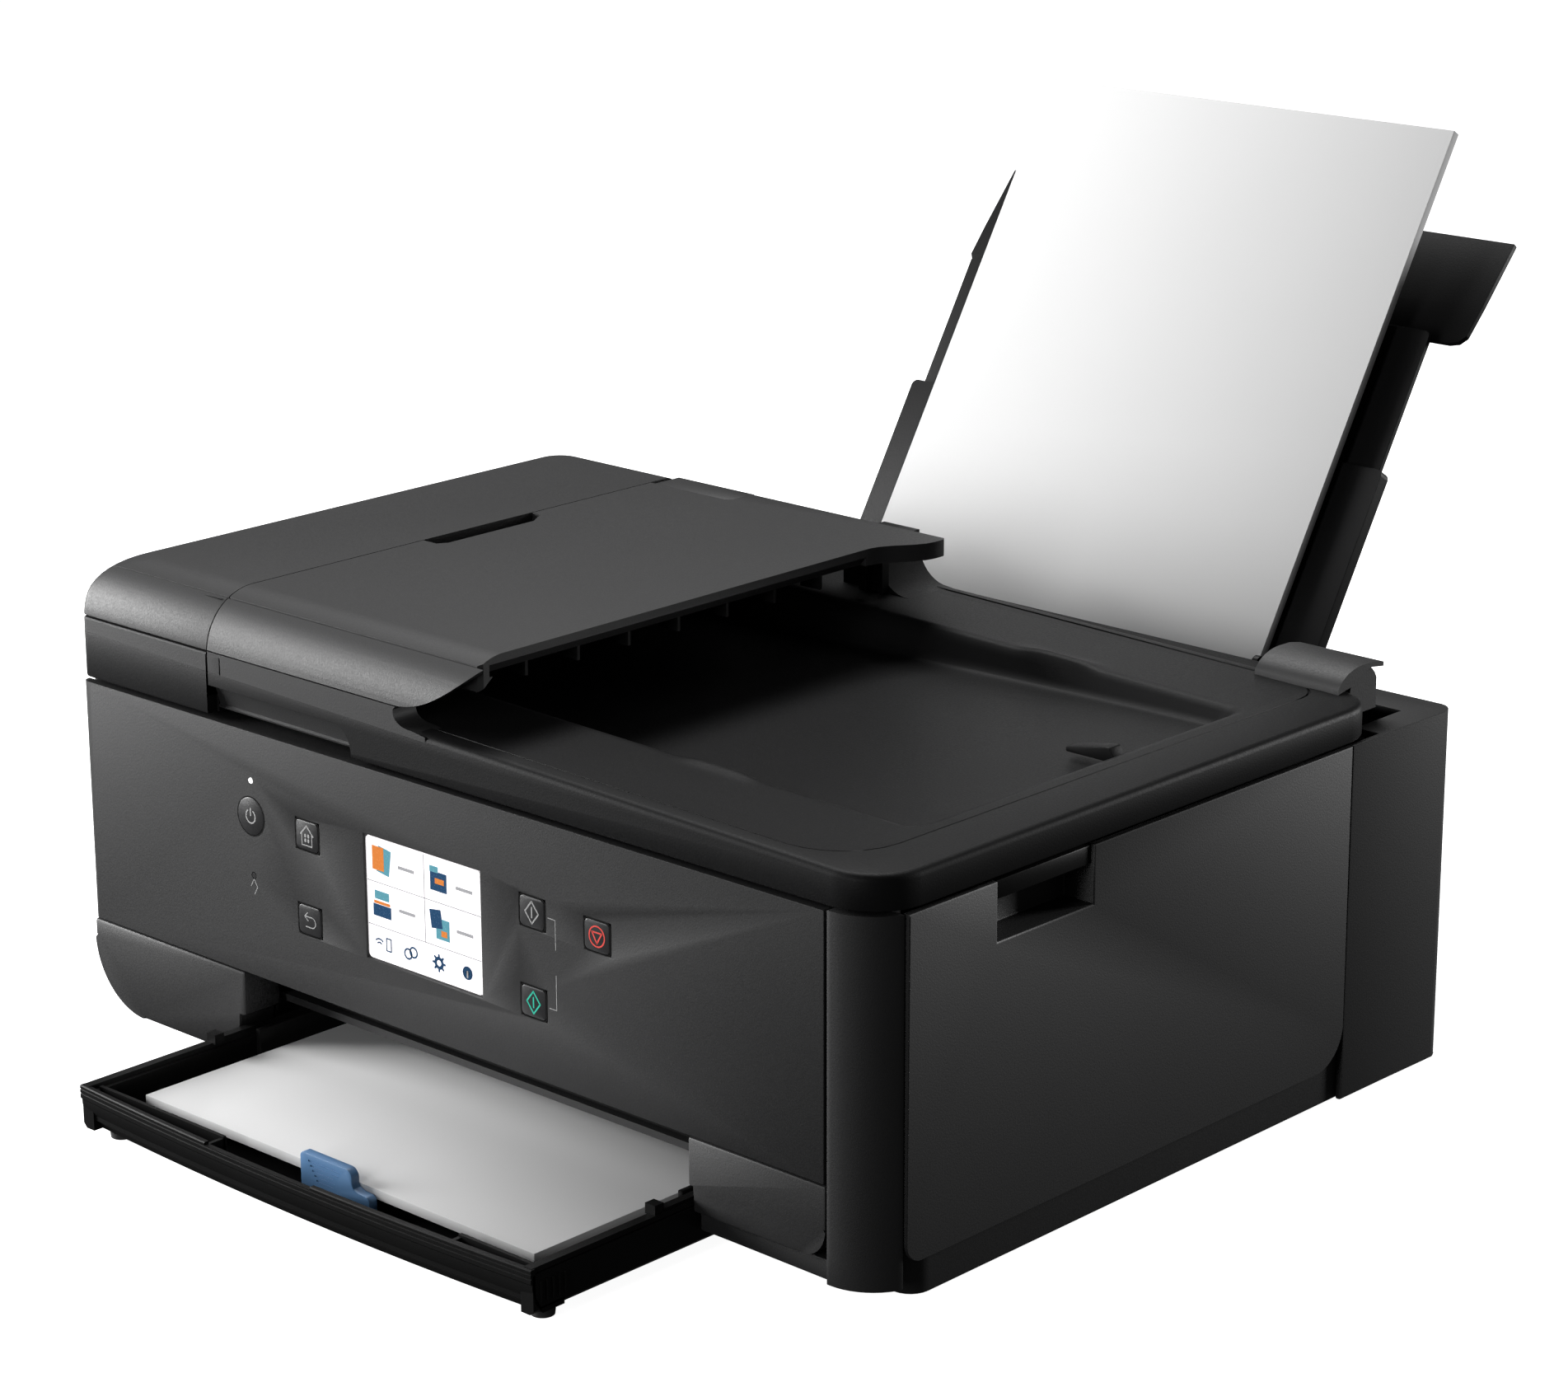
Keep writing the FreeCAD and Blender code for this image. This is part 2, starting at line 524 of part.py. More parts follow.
def operation_panel():
    """Tilting front panel: a shallow shell with holes for the screen, buttons and lamps."""
    body = new_body("operation_panel")
    add_box(body, ("panel_left", "panel_right"), ("0", "panel_depth"), ("panel_low", "panel_high"))
    wing = ("-half_width", "panel_left + wall")
    add_box(body, wing, ("0", "wing_depth"), ("panel_low", "panel_high"))
    round_edges(body, "panel_round", "x- y-")
    inner = ("panel_left + wall", "panel_right - wall")
    cut_box(body, inner, ("skin", "panel_depth + past"), ("panel_low + wall", "panel_high - wall - wall"))
    through = ("-past", "skin + past")
    screen = ("screen_left - gap", "screen_right + gap")
    cut_box(body, screen, through, ("screen_low - gap", "screen_high + gap"))
    for x, z in BUTTONS.values():
        wide = (f"{x} - key_width / 2 - gap", f"{x} + key_width / 2 + gap")
        tall = (f"{z} - key_height / 2 - gap", f"{z} + key_height / 2 + gap")
        cut_box(body, wide, through, tall)
    cut_cylinder(body, "y", ("power_x", "power_z"), through, "power_radius + gap")
    cut_cylinder(body, "y", ("lamp_x", "lamp_z"), through, "lamp_radius")
    cut_cylinder(body, "y", ("lamp_x", "alarm_z"), through, "lamp_radius")
    bore = ("panel_pin_y", "panel_pin_z")
    cut_cylinder(body, "x", bore, ("panel_right - 3 * wall", "panel_right + past"), "panel_pin + running")
    cut_cylinder(body, "x", bore, ("panel_left - past", "panel_left + 3 * wall"), "panel_pin + running")


def touch_screen():
    """Colour touch display that fills the panel's window."""
    body = new_body("touch_screen")
    window = ("screen_left", "screen_right")
    add_box(body, window, ("screen_front", "screen_back"), ("screen_low", "screen_high"))
    round_edges(body, "screen_round", "x- z-", "x- z+", "x+ z-", "x+ z+")
    flange = ("screen_left - wall", "screen_right + wall")
    behind = ("skin + running", "screen_back")
    add_box(body, flange, behind, ("screen_low - wall", "screen_high + wall"))


def control_board():
    """Circuit board behind the panel that carries the key switches and lamps."""
    body = new_body("control_board")
    depth = ("board_front", "board_front + board_skin")
    add_box(body, ("board_left", "board_right"), depth, ("board_low", "board_high"))


def square_button(label):
    x, z = BUTTONS[label]
    body = new_body(label)
    wide = (f"{x} - key_width / 2", f"{x} + key_width / 2")
    tall = (f"{z} - key_height / 2", f"{z} + key_height / 2")
    add_box(body, wide, ("button_front", "button_back"), tall)
    round_edges(body, "button_round", "x- z-", "x- z+", "x+ z-", "x+ z+")


def power_button():
    body = new_body("power_button")
    add_cylinder(body, "y", ("power_x", "power_z"), ("button_front", "button_back"), "power_radius")


def group(label, cylinders):
    """One node of separate round pieces; each is (along, centre, span, radius)."""
    links = []
    for cylinder in cylinders:
        piece = doc.addObject("Part::Cylinder", label + "_piece")
        links.append(span_cylinder(piece, *cylinder))
    compound = doc.addObject("Part::Compound", label)
    compound.Links = links
    compound.Label = label
    bind(compound, "Placement.Base.y", "-origin_y")
    sub_parts.append(compound)


def status_lenses():
    """Clear lenses of the power lamp and the alarm lamp."""
    depth = ("running", "skin + wall")
    radius = "lamp_radius - running"
    group("status_lenses", [("y", ("lamp_x", z), depth, radius) for z in ("lamp_z", "alarm_z")])


# ---- Scanner unit ----

def scanner_frame():
    """Flat-bed scanner case with a glass window, side lifting lips and two hinge arms."""
    body = new_body("scanner_frame")
    width = ("-scan_half", "scan_half")
    add_box(body, width, ("scan_front", "scan_back"), ("scan_low", "scan_top"))
    inner = ("-scan_half + wall", "scan_half - wall")
    inside = ("scan_front + wall", "scan_back - wall")
    cut_box(body, inner, inside, ("scan_floor", "scan_ceiling"))
    rebate = "gap"
    window = (f"-glass_half - {rebate}", f"glass_half + {rebate}")
    long_side = (f"glass_front - {rebate}", f"glass_back + {rebate}")
    cut_box(body, window, long_side, ("scan_top - glass_skin - running", "scan_top + past"))
    light = ("-glass_half + glass_ledge", "glass_half - glass_ledge")
    light_depth = ("glass_front + glass_ledge", "glass_back - glass_ledge")
    cut_box(body, light, light_depth, ("scan_ceiling - past", "scan_top + past"))
    for side in ("right", "left"):
        lip = ("grip_front + gap + running", "grip_back - gap - running")
        lip_width = mirrored(side, "scan_half - wall", "lip_reach")
        add_box(body, lip_width, lip, ("grip_lip_low", "body_top - gap"))
        arm_height = ("arm_bottom", "arm_top")
        arm_depth = ("scan_back - wall", "arm_reach")
        add_box(body, mirrored(side, "arm_in", "arm_out"), arm_depth, arm_height)
        pivot = ("scan_pin_y", "scan_pin_z")
        bore = mirrored(side, "arm_in - past", "arm_out + past")
        cut_cylinder(body, "x", pivot, bore, "hinge_pin + running")


def platen_glass():
    """Scanner glass that the document lies on."""
    body = new_body("platen_glass")
    height = ("scan_top - glass_skin", "scan_top")
    add_box(body, ("-glass_half", "glass_half"), ("glass_front", "glass_back"), height)


def scan_bar():
    """Contact image sensor bar that travels under the glass."""
    body = new_body("scan_bar")
    add_box(body, ("bar_left", "bar_left + bar_width"), ("bar_front", "bar_back"), ("bar_low", "bar_top"))
    round_edges(body, "past", "x- z+", "x+ z+")


def cover_hinge_brackets():
    """Two hinge posts with pins, fixed to the scanner's arms, that carry the document cover."""
    body = new_body("cover_hinge_brackets")
    body.AllowCompound = True
    for side in ("right", "left"):
        neck = mirrored(side, "neck_in", "neck_out")
        add_box(body, neck, ("cap_front + gap", "neck_back"), ("arm_top", "lid_pin_z"))
        pivot = ("lid_pin_y", "lid_pin_z")
        add_cylinder(body, "x", pivot, neck, "boss")
        pin = mirrored(side, "cap_in + gap", "cap_out - gap")
        add_cylinder(body, "x", pivot, pin, "hinge_pin")


# ---- Document cover and feeder ----

def document_cover():
    """Scanner lid: rim, dished landing with its stop ramp, and the feeder's lower case."""
    body = new_body("document_cover")
    lid = ("lid_low", "rim_top")
    add_box(body, ("-half_width", "half_width"), ("0", "lid_back"), lid)
    round_edges(body, "rim_round", "x+ y-", "x+ y+", "x- y-")
    cut_box(body, ("dish_left", "dish_right"), ("dish_front", "dish_back"), ("dish_floor", "rim_top + past"))
    ledge = ("rim_top - past", "ledge_top")
    add_box(body, ("-half_width + wall", "ledge_right"), ("wall", "ledge_back"), ledge)
    well = ("feeder_well_left", "ledge_right - wall")
    cut_box(body, well, ("feeder_well_front", "feeder_well_back"), ("feeder_well_low", "ledge_top + past"))
    add_box(body, ("ledge_right - wall", "band_right"), ("0", "band_depth"), ("rim_top - past", "band_top"))
    wall_top = ("dish_floor", "tray_low - gap")
    add_box(body, ("ledge_right", "ledge_right + slot_wall"), ("dish_front", "ledge_back"), wall_top)
    paper_exit = ("ledge_right - wall - past", "ledge_right + slot_wall + past")
    cut_box(body, paper_exit, ("feeder_well_front", "feeder_well_back"), ("exit_low", "exit_high"))
    for front in ("lug_front", "lug_back"):
        lug = (front, f"{front} + lug_length")
        lug_width = ("feeder_pin_x - lug_half", "feeder_pin_x + lug_half")
        add_box(body, lug_width, lug, ("rim_top - past", "feeder_pin_z"))
        add_cylinder(body, "y", ("feeder_pin_x", "feeder_pin_z"), lug, "lug_half")
        bore = (f"{front} - past", f"{front} + lug_length + past")
        cut_cylinder(body, "y", ("feeder_pin_x", "feeder_pin_z"), bore, "feeder_pin + running")
    column = ("column_front", "ledge_back")
    add_box(body, ("column_start", "column_end"), column, ("dish_floor", "column_top"))
    notch = ("notch_left_x", "notch_right_x")
    cut_box(body, notch, ("-past", "notch_deep - wall"), ("lid_low - past", "notch_top"))
    pocket = ("-pad_half - gap", "pad_half + gap")
    cut_box(body, pocket, ("pad_front - gap", "pad_back + gap"), ("lid_low - past", "lid_low + pad_skin"))
    relief = ("-pad_half + glass_ledge", "pad_half - glass_ledge")
    relief_depth = ("pad_front + glass_ledge", "pad_back - glass_ledge")
    cut_box(body, relief, relief_depth, ("lid_low", "dish_floor - wall"))
    for span in (("neck_in - wall", "neck_out + wall"), ("-neck_out - wall", "-neck_in + wall")):
        cut_box(body, span, ("scan_back - 2 * wall", "lid_back + past"), ("lid_low - past", "rim_top + past"))
    pivot = ("tray_pin_x", "tray_pin_z")
    cut_cylinder(body, "y", pivot, ("column_front - past", "ledge_back + past"), "tray_pin + running")
    stopper = (
        ("stopper_x - stopper_length / 2", "dish_floor - past"),
        ("stopper_x + stopper_length / 2", "dish_floor - past"),
        ("stopper_x + stopper_length / 2", "dish_floor"),
        ("stopper_x + stopper_length / 2 - past", "stopper_top"),
        ("stopper_x - stopper_length / 2", "dish_floor"),
    )
    pad(body, outline(body, "XZ_Plane", stopper, "-stopper_y - stopper_width / 2"), "stopper_width")


def hinge_caps():
    """Two rounded caps at the back of the cover that house the hinges."""
    body = new_body("hinge_caps")
    body.AllowCompound = True
    for side in ("right", "left"):
        outer = mirrored(side, "cap_in", "cap_out")
        add_box(body, outer, ("lid_back", "cap_back"), ("cap_low", "cap_top"))
        inner = mirrored(side, "cap_in + cap_wall", "cap_out - cap_wall")
        hollow = ("lid_back - past", "cap_back - cap_wall")
        cut_box(body, inner, hollow, ("lid_low - past", "cap_top - cap_wall"))
        pivot = ("lid_pin_y", "lid_pin_z")
        bore = mirrored(side, "cap_in - past", "cap_out + past")
        cut_cylinder(body, "x", pivot, bore, "hinge_pin + running")
    round_edges(body, "cap_round", "y+ z+")


def cover_pad():
    """Thin pad that presses a document on the glass."""
    body = new_body("cover_pad")
    height = ("lid_low - running", "lid_low + pad_skin - running")
    add_box(body, ("-pad_half", "pad_half"), ("pad_front", "pad_back"), height)


def feeder_front_trim():
    """Curved front strip of the document feeder; its right tip carries the tray's hinge."""
    body = new_body("feeder_front_trim")
    add_box(body, ("tray_left", "trim_right"), ("0", "tray_front - gap"), ("trim_low", "feeder_top"))
    round_edges(body, "band_depth - gap", "y- z+")
    under = ("band_right", "trim_right + past")
    cut_box(body, under, ("-past", "tray_front"), ("trim_low - past", "tray_low - past"))
    hollow = ("tray_left + wall", "band_right - wall")
    cut_box(body, hollow, ("wall", "tray_front"), ("trim_low + wall", "tray_low - wall"))
    pivot = ("tray_pin_x", "tray_pin_z")
    cut_cylinder(body, "y", pivot, ("tray_front - knuckle - wall", "tray_front"), "tray_pin + running")


def feeder_cover():
    """Left cover of the document feeder, hinged along its left edge."""
    body = new_body("feeder_cover")
    height = ("feeder_low", "feeder_top")
    add_box(body, ("-half_width", "feeder_right"), ("0", "feeder_back"), height)
    round_edges(body, "feeder_round", "y- z+")
    round_edges(body, "feeder_side_round", "x- z+")
    inner = ("-half_width + wall", "feeder_right - wall")
    hollow = ("feeder_round / 2", "feeder_back - wall")
    cut_box(body, inner, hollow, ("feeder_low - past", "feeder_top - feeder_side_round / 2"))
    for front in ("lug_front", "lug_back"):
        slot = (f"{front} - gap", f"{front} + lug_length + gap")
        slot_width = ("-half_width - past", "-half_width + wall + past")
        slot_top = "feeder_pin_z + lug_half + gap"
        cut_box(body, slot_width, slot, ("feeder_low - past", slot_top))
        pin = (f"{front} - gap - past", f"{front} + lug_length + gap + past")
        add_cylinder(body, "y", ("feeder_pin_x", "feeder_pin_z"), pin, "feeder_pin")


def document_tray():
    """Flat lid that opens to the right into the document tray, with a finger recess."""
    body = new_body("document_tray")
    lid = ("tray_low", "feeder_top")
    add_box(body, ("tray_left", "tray_right"), ("tray_front", "feeder_back"), lid)
    finger = ("tray_left - past", "finger_reach")
    cut_box(body, finger, ("finger_front", "finger_back"), ("finger_low", "feeder_top + past"))
    pivot = ("tray_pin_x", "tray_pin_z")
    front = ("tray_front", "tray_front + knuckle")
    back = ("feeder_back - knuckle", "feeder_back")
    front_pin = ("tray_front - knuckle", "tray_front")
    back_pin = ("feeder_back", "feeder_back + 2 * knuckle")
    for span, pin in ((front, front_pin), (back, back_pin)):
        add_cylinder(body, "y", pivot, span, "knuckle")
        add_cylinder(body, "y", pivot, pin, "tray_pin")


def document_guide(label, place):
    """Sliding edge guide under the document tray."""
    body = new_body(label)
    width = ("doc_guide_left", "doc_guide_right")
    depth = (place, f"{place} + doc_guide_width")
    add_box(body, width, depth, ("doc_guide_low", "tray_low - gap"))
    round_edges(body, "past", "x- z-", "x+ z-")


def feeder_roller(label, place):
    """Feeder roller: a shaft with one wide rubber tyre."""
    body = new_body(label)
    centre = (place, "feeder_roller_z")
    add_cylinder(body, "y", centre, ("feeder_shaft_front", "feeder_shaft_back"), "feeder_shaft")
    add_cylinder(body, "y", centre, ("feeder_tyre_front", "feeder_tyre_back"), "feeder_roller_radius")


# ---- Cassette and output tray ----

def cassette_tray():
    """Inner part of the paper cassette: raised floor between two side walls."""
    body = new_body("cassette_tray")
    outer = ("cassette_x - inner_half", "cassette_x + inner_half")
    inner = ("cassette_x - inner_half + inner_wall", "cassette_x + inner_half - inner_wall")
    depth = ("inner_front", "inner_back")
    past_ends = ("inner_front - past", "inner_back + past")
    add_box(body, outer, depth, ("inner_low", "inner_top"))
    cut_box(body, inner, past_ends, ("inner_low - past", "inner_floor_low"))
    cut_box(body, inner, past_ends, ("inner_floor", "inner_top + past"))
    slot = ("end_guide_left - past", "end_guide_right + past")
    slot_depth = ("inner_front - past", "inner_front + guide_slot")
    cut_box(body, slot, slot_depth, ("inner_low", "inner_floor + past"))


def cassette_extension():
    """Front part of the cassette, which slides out for long paper; two pads stand on the desk."""
    body = new_body("cassette_extension")
    outer = ("cassette_x - outer_half", "cassette_x + outer_half")
    inner = ("cassette_x - outer_half + outer_wall", "cassette_x + outer_half - outer_wall")
    add_box(body, outer, ("outer_front", "outer_back"), ("outer_low", "outer_top"))
    inside = ("outer_front + outer_front_wall", "outer_back + past")
    cut_box(body, inner, inside, ("outer_floor", "outer_top + past"))
    for side in ("-", "+"):
        place = (f"cassette_x {side} pad_x", "pad_y")
        add_cylinder(body, "z", place, ("0", "outer_floor"), "pad_radius")


def cassette_end_guide():
    """Blue guide that holds the front edge of the paper in the cassette."""
    body = new_body("cassette_end_guide")
    depth = ("end_guide_front", "end_guide_back")
    tab = ("end_guide_left", "end_guide_tab")
    add_box(body, tab, depth, ("end_guide_low", "end_guide_top"))
    round_edges(body, "end_guide_round", "x- z+", "x+ z+")
    add_box(body, ("end_guide_left", "end_guide_right"), depth, ("end_guide_low", "end_guide_foot"))
    slider = ("-slider_half", "slider_half")
    add_box(body, slider, ("slider_front", "slider_back"), ("end_guide_low", "slider_top"))


def cassette_paper():
    """Stack of letter sheets in the cassette."""
    body = new_body("cassette_paper")
    across = ("cassette_x - sheet_half", "cassette_x + sheet_half")
    depth = ("stack_front", "stack_front + sheet_length")
    add_box(body, across, depth, ("stack_low", "stack_low + stack"))


def paper_output_tray():
    """Flat tray that slides out above the cassette to catch the printed sheets."""
    body = new_body("paper_output_tray")
    width = ("output_left", "output_right")
    add_box(body, width, ("output_front", "output_back"), ("output_low", "output_high"))
    round_edges(body, "output_round", "x- y-", "x+ y-")


# ---- Rear paper support ----

def paper_support_lower():
    """Lower stage of the paper support: a channel, open at the back, that holds the upper stage."""
    body = leaning_body("paper_support_lower")
    height = ("lower_start", "lower_end")
    add_box(body, ("-lower_half", "lower_half"), ("lower_front", "lower_back"), height)
    round_edges(body, "wall", "x- z+", "x+ z+")
    channel = ("lower_slot_front", "lower_back + past")
    past_ends = ("lower_start - past", "lower_end + past")
    cut_box(body, ("-lower_slot_half", "lower_slot_half"), channel, past_ends)


def paper_support_upper():
    """Upper stage of the paper support, with two arms for the flap."""
    body = leaning_body("paper_support_upper")
    height = ("upper_start", "upper_end")
    add_box(body, ("-upper_half", "upper_half"), ("upper_front", "upper_back"), height)
    round_edges(body, "wall", "x- z+", "x+ z+")
    for arm in (("arm_start", "arm_start + arm_width"), ("-arm_start - arm_width", "-arm_start")):
        add_box(body, arm, ("upper_front", "arm_back"), ("arm_low", "arm_high"))
        pivot = ("flap_pin_y", "flap_pin_u")
        cut_cylinder(body, "x", pivot, (arm[0] + " - past", arm[1] + " + past"), "flap_pin + running")
    through = ("upper_front - past", "arm_back + past")
    for ear in (("arm_start + arm_width", "arm_start + 2 * arm_width + gap"),
                ("-arm_start - 2 * arm_width - gap", "-arm_start - arm_width")):
        cut_box(body, ear, through, ("arm_low", "upper_end + past"))


def paper_support_flap():
    """Top flap of the paper support: a wide plate whose ears carry the hinge pins."""
    body = leaning_body("paper_support_flap")
    corners = (
        ("flap_foot_y", "flap_foot_u"),
        ("flap_foot_y + flap_skin", "flap_foot_u"),
        ("flap_foot_y + flap_skin + flap_length * sin(flap_lean * 1 deg)",
         "flap_foot_u + flap_length * cos(flap_lean * 1 deg)"),
        ("flap_foot_y + flap_length * sin(flap_lean * 1 deg)",
         "flap_foot_u + flap_length * cos(flap_lean * 1 deg)"),
    )
    sketch = outline(body, "YZ_Plane", corners, "-flap_half")
    pad(body, sketch, "2 * flap_half")
    round_edges(body, "flap_round", "x- z-", "x+ z-")
    pivot = ("flap_pin_y", "flap_pin_u")
    for side in ("right", "left"):
        ear = mirrored(side, "arm_start + arm_width + gap", "arm_start + 2 * arm_width")
        ear_depth = ("flap_pin_y - ear_reach", "flap_foot_y + flap_skin")
        add_box(body, ear, ear_depth, ("flap_pin_u - ear_reach", "flap_foot_u + flap_skin"))
        pin = mirrored(side, "arm_start - gap", "arm_start + 2 * arm_width")
        add_cylinder(body, "x", pivot, pin, "flap_pin")


def rear_paper():
    """Stack of letter sheets leaning in the rear tray."""
    body = leaning_body("rear_paper")
    add_box(body, ("-sheet_half", "sheet_half"), ("0", "stack"), ("0", "sheet_length"))


def rear_guide(label, side):
    """Sliding side guide at the foot of the rear paper."""
    body = leaning_body(label)
    low, high = "sheet_half + guide_gap", "sheet_half + guide_gap + guide_width"
    across = (low, high) if side == "right" else (f"-({high})", f"-({low})")
    add_box(body, across, ("guide_front", "guide_back"), ("guide_start", "guide_end"))
    round_edges(body, "wall", "y- z+")


# ---- Print engine and electronics ----

def chassis_frame():
    """Folded sheet-metal frame that holds the rollers and the carriage shaft."""
    body = new_body("chassis_frame")
    height = ("base_top", "engine_top")
    add_box(body, ("-engine_half", "engine_half"), ("engine_front", "engine_back"), height)
    inner = ("-engine_half + engine_sheet", "engine_half - engine_sheet")
    depth = ("engine_front - past", "engine_back - engine_sheet")
    cut_box(body, inner, depth, ("base_top - past", "engine_top + past"))
    window = ("engine_front + 3 * wall", "exit_y - 3 * wall")
    across = ("-engine_half - past", "engine_half + past")
    cut_box(body, across, window, ("purge_top", "engine_top - 3 * wall"))
    for place in ("feed_y", "exit_y"):
        cut_cylinder(body, "x", (place, "roller_z"), across, "roller_shaft + running")
    shaft = ("slide_shaft_y", "slide_shaft_z")
    cut_cylinder(body, "x", shaft, across, "slide_shaft")


def carriage_shaft():
    """Polished steel shaft that the print carriage slides on."""
    body = new_body("carriage_shaft")
    shaft = ("slide_shaft_y", "slide_shaft_z")
    add_cylinder(body, "x", shaft, ("-engine_half", "engine_half"), "slide_shaft")


def paper_roller(label, place):
    """Steel shaft with a row of rubber rollers."""
    body = new_body(label)
    centre = (place, "roller_z")
    shaft = ("-engine_half - past / 2", "engine_half + past / 2")
    add_cylinder(body, "x", centre, shaft, "roller_shaft")
    for number in range(int(size("roller_count"))):
        start = f"roller_start + {number} * roller_pitch"
        add_cylinder(body, "x", centre, (start, start + " + roller_width"), "roller_radius")


def platen():
    """Ribbed bed that holds the sheet flat under the print head."""
    body = new_body("platen")
    across = ("platen_left", "platen_right")
    add_box(body, across, ("platen_front", "platen_back"), ("base_top", "platen_top"))
    inner = ("platen_left + wall", "platen_right - wall")
    inside = ("platen_front + wall", "platen_back - wall")
    cut_box(body, inner, inside, ("base_top - past", "platen_top - wall"))


def print_carriage():
    """Carriage that holds the ink tanks and runs along its shaft."""
    body = new_body("print_carriage")
    across = ("carriage_left", "carriage_right")
    add_box(body, across, ("carriage_front", "carriage_back"), ("carriage_low", "carriage_top"))
    inner = ("carriage_left + wall", "carriage_right - wall")
    inside = ("carriage_front + wall", "tank_back + gap")
    cut_box(body, inner, inside, ("tank_low - gap", "carriage_top + past"))
    shaft = ("slide_shaft_y", "slide_shaft_z")
    bore = ("carriage_left - past", "carriage_right + past")
    cut_cylinder(body, "x", shaft, bore, "slide_shaft + running")


def ink_tanks():
    """Five ink tanks side by side in the carriage."""
    body = new_body("ink_tanks")
    body.AllowCompound = True
    for number in range(int(size("tank_count"))):
        start = f"tank_left + {number} * tank_pitch"
        across = (start, start + " + tank_width")
        add_box(body, across, ("tank_front", "tank_back"), ("tank_low", "tank_top"))


def purge_unit():
    """Maintenance station that caps and wipes the print head at its parking place."""
    body = new_body("purge_unit")
    across = ("purge_left", "purge_right")
    add_box(body, across, ("platen_front", "platen_back"), ("base_top", "purge_top"))
    cap = ("purge_left + 4 * wall", "purge_right - 4 * wall")
    inside = ("platen_front + 3 * wall", "platen_back - 3 * wall")
    cut_box(body, cap, inside, ("purge_top - 2 * wall", "purge_top + past"))


def carriage_belt():
    """Toothed belt loop that pulls the carriage."""
    body = new_body("carriage_belt")
    depth = ("belt_front", "belt_back")
    add_box(body, ("-belt_half", "belt_half"), depth, ("belt_low", "belt_high"))
    round_edges(body, "(belt_high - belt_low) / 2 - running", "x- z-", "x- z+", "x+ z-", "x+ z+")
    through = ("belt_front - past", "belt_back + past")
    middle = "(belt_low + belt_high) / 2"
    turn = "(belt_high - belt_low) / 2"
    straight = (f"-belt_half + {turn}", f"belt_half - {turn}")
    cut_box(body, straight, through, ("belt_low + belt_skin", "belt_high - belt_skin"))
    for end in straight:
        cut_cylinder(body, "y", (end, middle), through, f"{turn} - belt_skin")


def power_supply():
    """Closed mains power supply in the rear left well."""
    body = new_body("power_supply")
    across = ("supply_left", "supply_right")
    add_box(body, across, ("supply_front", "supply_back"), ("supply_low", "supply_top"))
    round_edges(body, "wall", "x- z+", "x+ z+")


def main_board():
    """Main circuit board above the power supply, with the sockets at its back edge."""
    body = new_body("main_board")
    across = ("logic_left", "logic_right")
    add_box(body, across, ("supply_front", "body_depth - 2 * wall"), ("logic_low", "logic_top"))


def feet():
    """Four rubber feet."""
    height = ("0", "base_floor")
    spots = [(x, y) for x in ("-foot_x", "foot_x") for y in ("foot_front", "foot_rear")]
    group("feet", [("z", spot, height, "foot_radius") for spot in spots])


def hinge_pins():
    """Steel pins of the scanner's two hinges and of the operation panel."""
    scanner = ("scan_pin_y", "scan_pin_z")
    panel = ("panel_pin_y", "panel_pin_z")
    pins = [
        ("x", scanner, ("notch_in - wall", "notch_out + wall"), "hinge_pin"),
        ("x", scanner, ("-notch_out - wall", "-notch_in + wall"), "hinge_pin"),
        ("x", panel, ("panel_right - wall", "column_left + past"), "panel_pin"),
        ("x", panel, ("-half_width + past", "panel_left + wall"), "panel_pin"),
    ]
    group("hinge_pins", pins)


def screws():
    """Four pan-head screws that hold the rear casing."""
    cylinders = []
    for x in ("-screw_x", "screw_x"):
        for z in ("screw_low", "screw_high"):
            head = ("body_depth - past", "body_depth + wall / 3")
            cylinders.append(("y", (x, z), head, "screw_head"))
    group("screws", cylinders)


base_frame()
front_frame()
lower_left_cover()
lower_right_cover()
side_panel("right_side_panel", "right")
side_panel("left_side_panel", "left")
rear_housing()
rear_access_cover()
rear_tray_frame()
power_inlet()
interface_ports()
operation_panel()
touch_screen()
control_board()
power_button()
for name in BUTTONS:
    square_button(name)
status_lenses()
scanner_frame()
platen_glass()
scan_bar()
cover_hinge_brackets()
document_cover()
hinge_caps()
cover_pad()
feeder_front_trim()
feeder_cover()
document_tray()
document_guide("front_document_guide", "front_doc_guide")
document_guide("rear_document_guide", "rear_doc_guide")
feeder_roller("feeder_pickup_roller", "pick_x")
feeder_roller("feeder_drive_roller", "drive_x")
cassette_tray()
cassette_extension()
cassette_end_guide()
cassette_paper()
paper_output_tray()
paper_support_lower()
paper_support_upper()
paper_support_flap()
rear_paper()
rear_guide("left_rear_guide", "left")
rear_guide("right_rear_guide", "right")
chassis_frame()
carriage_shaft()
paper_roller("feed_roller", "feed_y")
paper_roller("exit_roller", "exit_y")
platen()
print_carriage()
ink_tanks()
purge_unit()
carriage_belt()
power_supply()
main_board()
feet()
hinge_pins()
screws()

doc.recompute()
failed = [thing.Label for thing in doc.Objects if {"Invalid", "Error"} & set(thing.State)]
if failed:
    raise SystemExit(f"failed objects: {failed}")
for sub_part in sub_parts:
    shape = sub_part.Shape
    if shape.isNull() or not shape.isValid() or shape.Volume <= 0:
        raise SystemExit(f"bad shape: {sub_part.Label}")
for sub_part in sub_parts:
    sub_part.Shape.exportStep(f"parts/{sub_part.Label}.step")
whole = Part.makeCompound([sub_part.Shape for sub_part in sub_parts]).BoundBox
print(len(sub_parts), "nodes")
print("x", whole.XMin, whole.XMax, "y", whole.YMin, whole.YMax, "z", whole.ZMin, whole.ZMax)
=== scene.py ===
import math

import bmesh
import bpy
from mathutils import Matrix, Vector


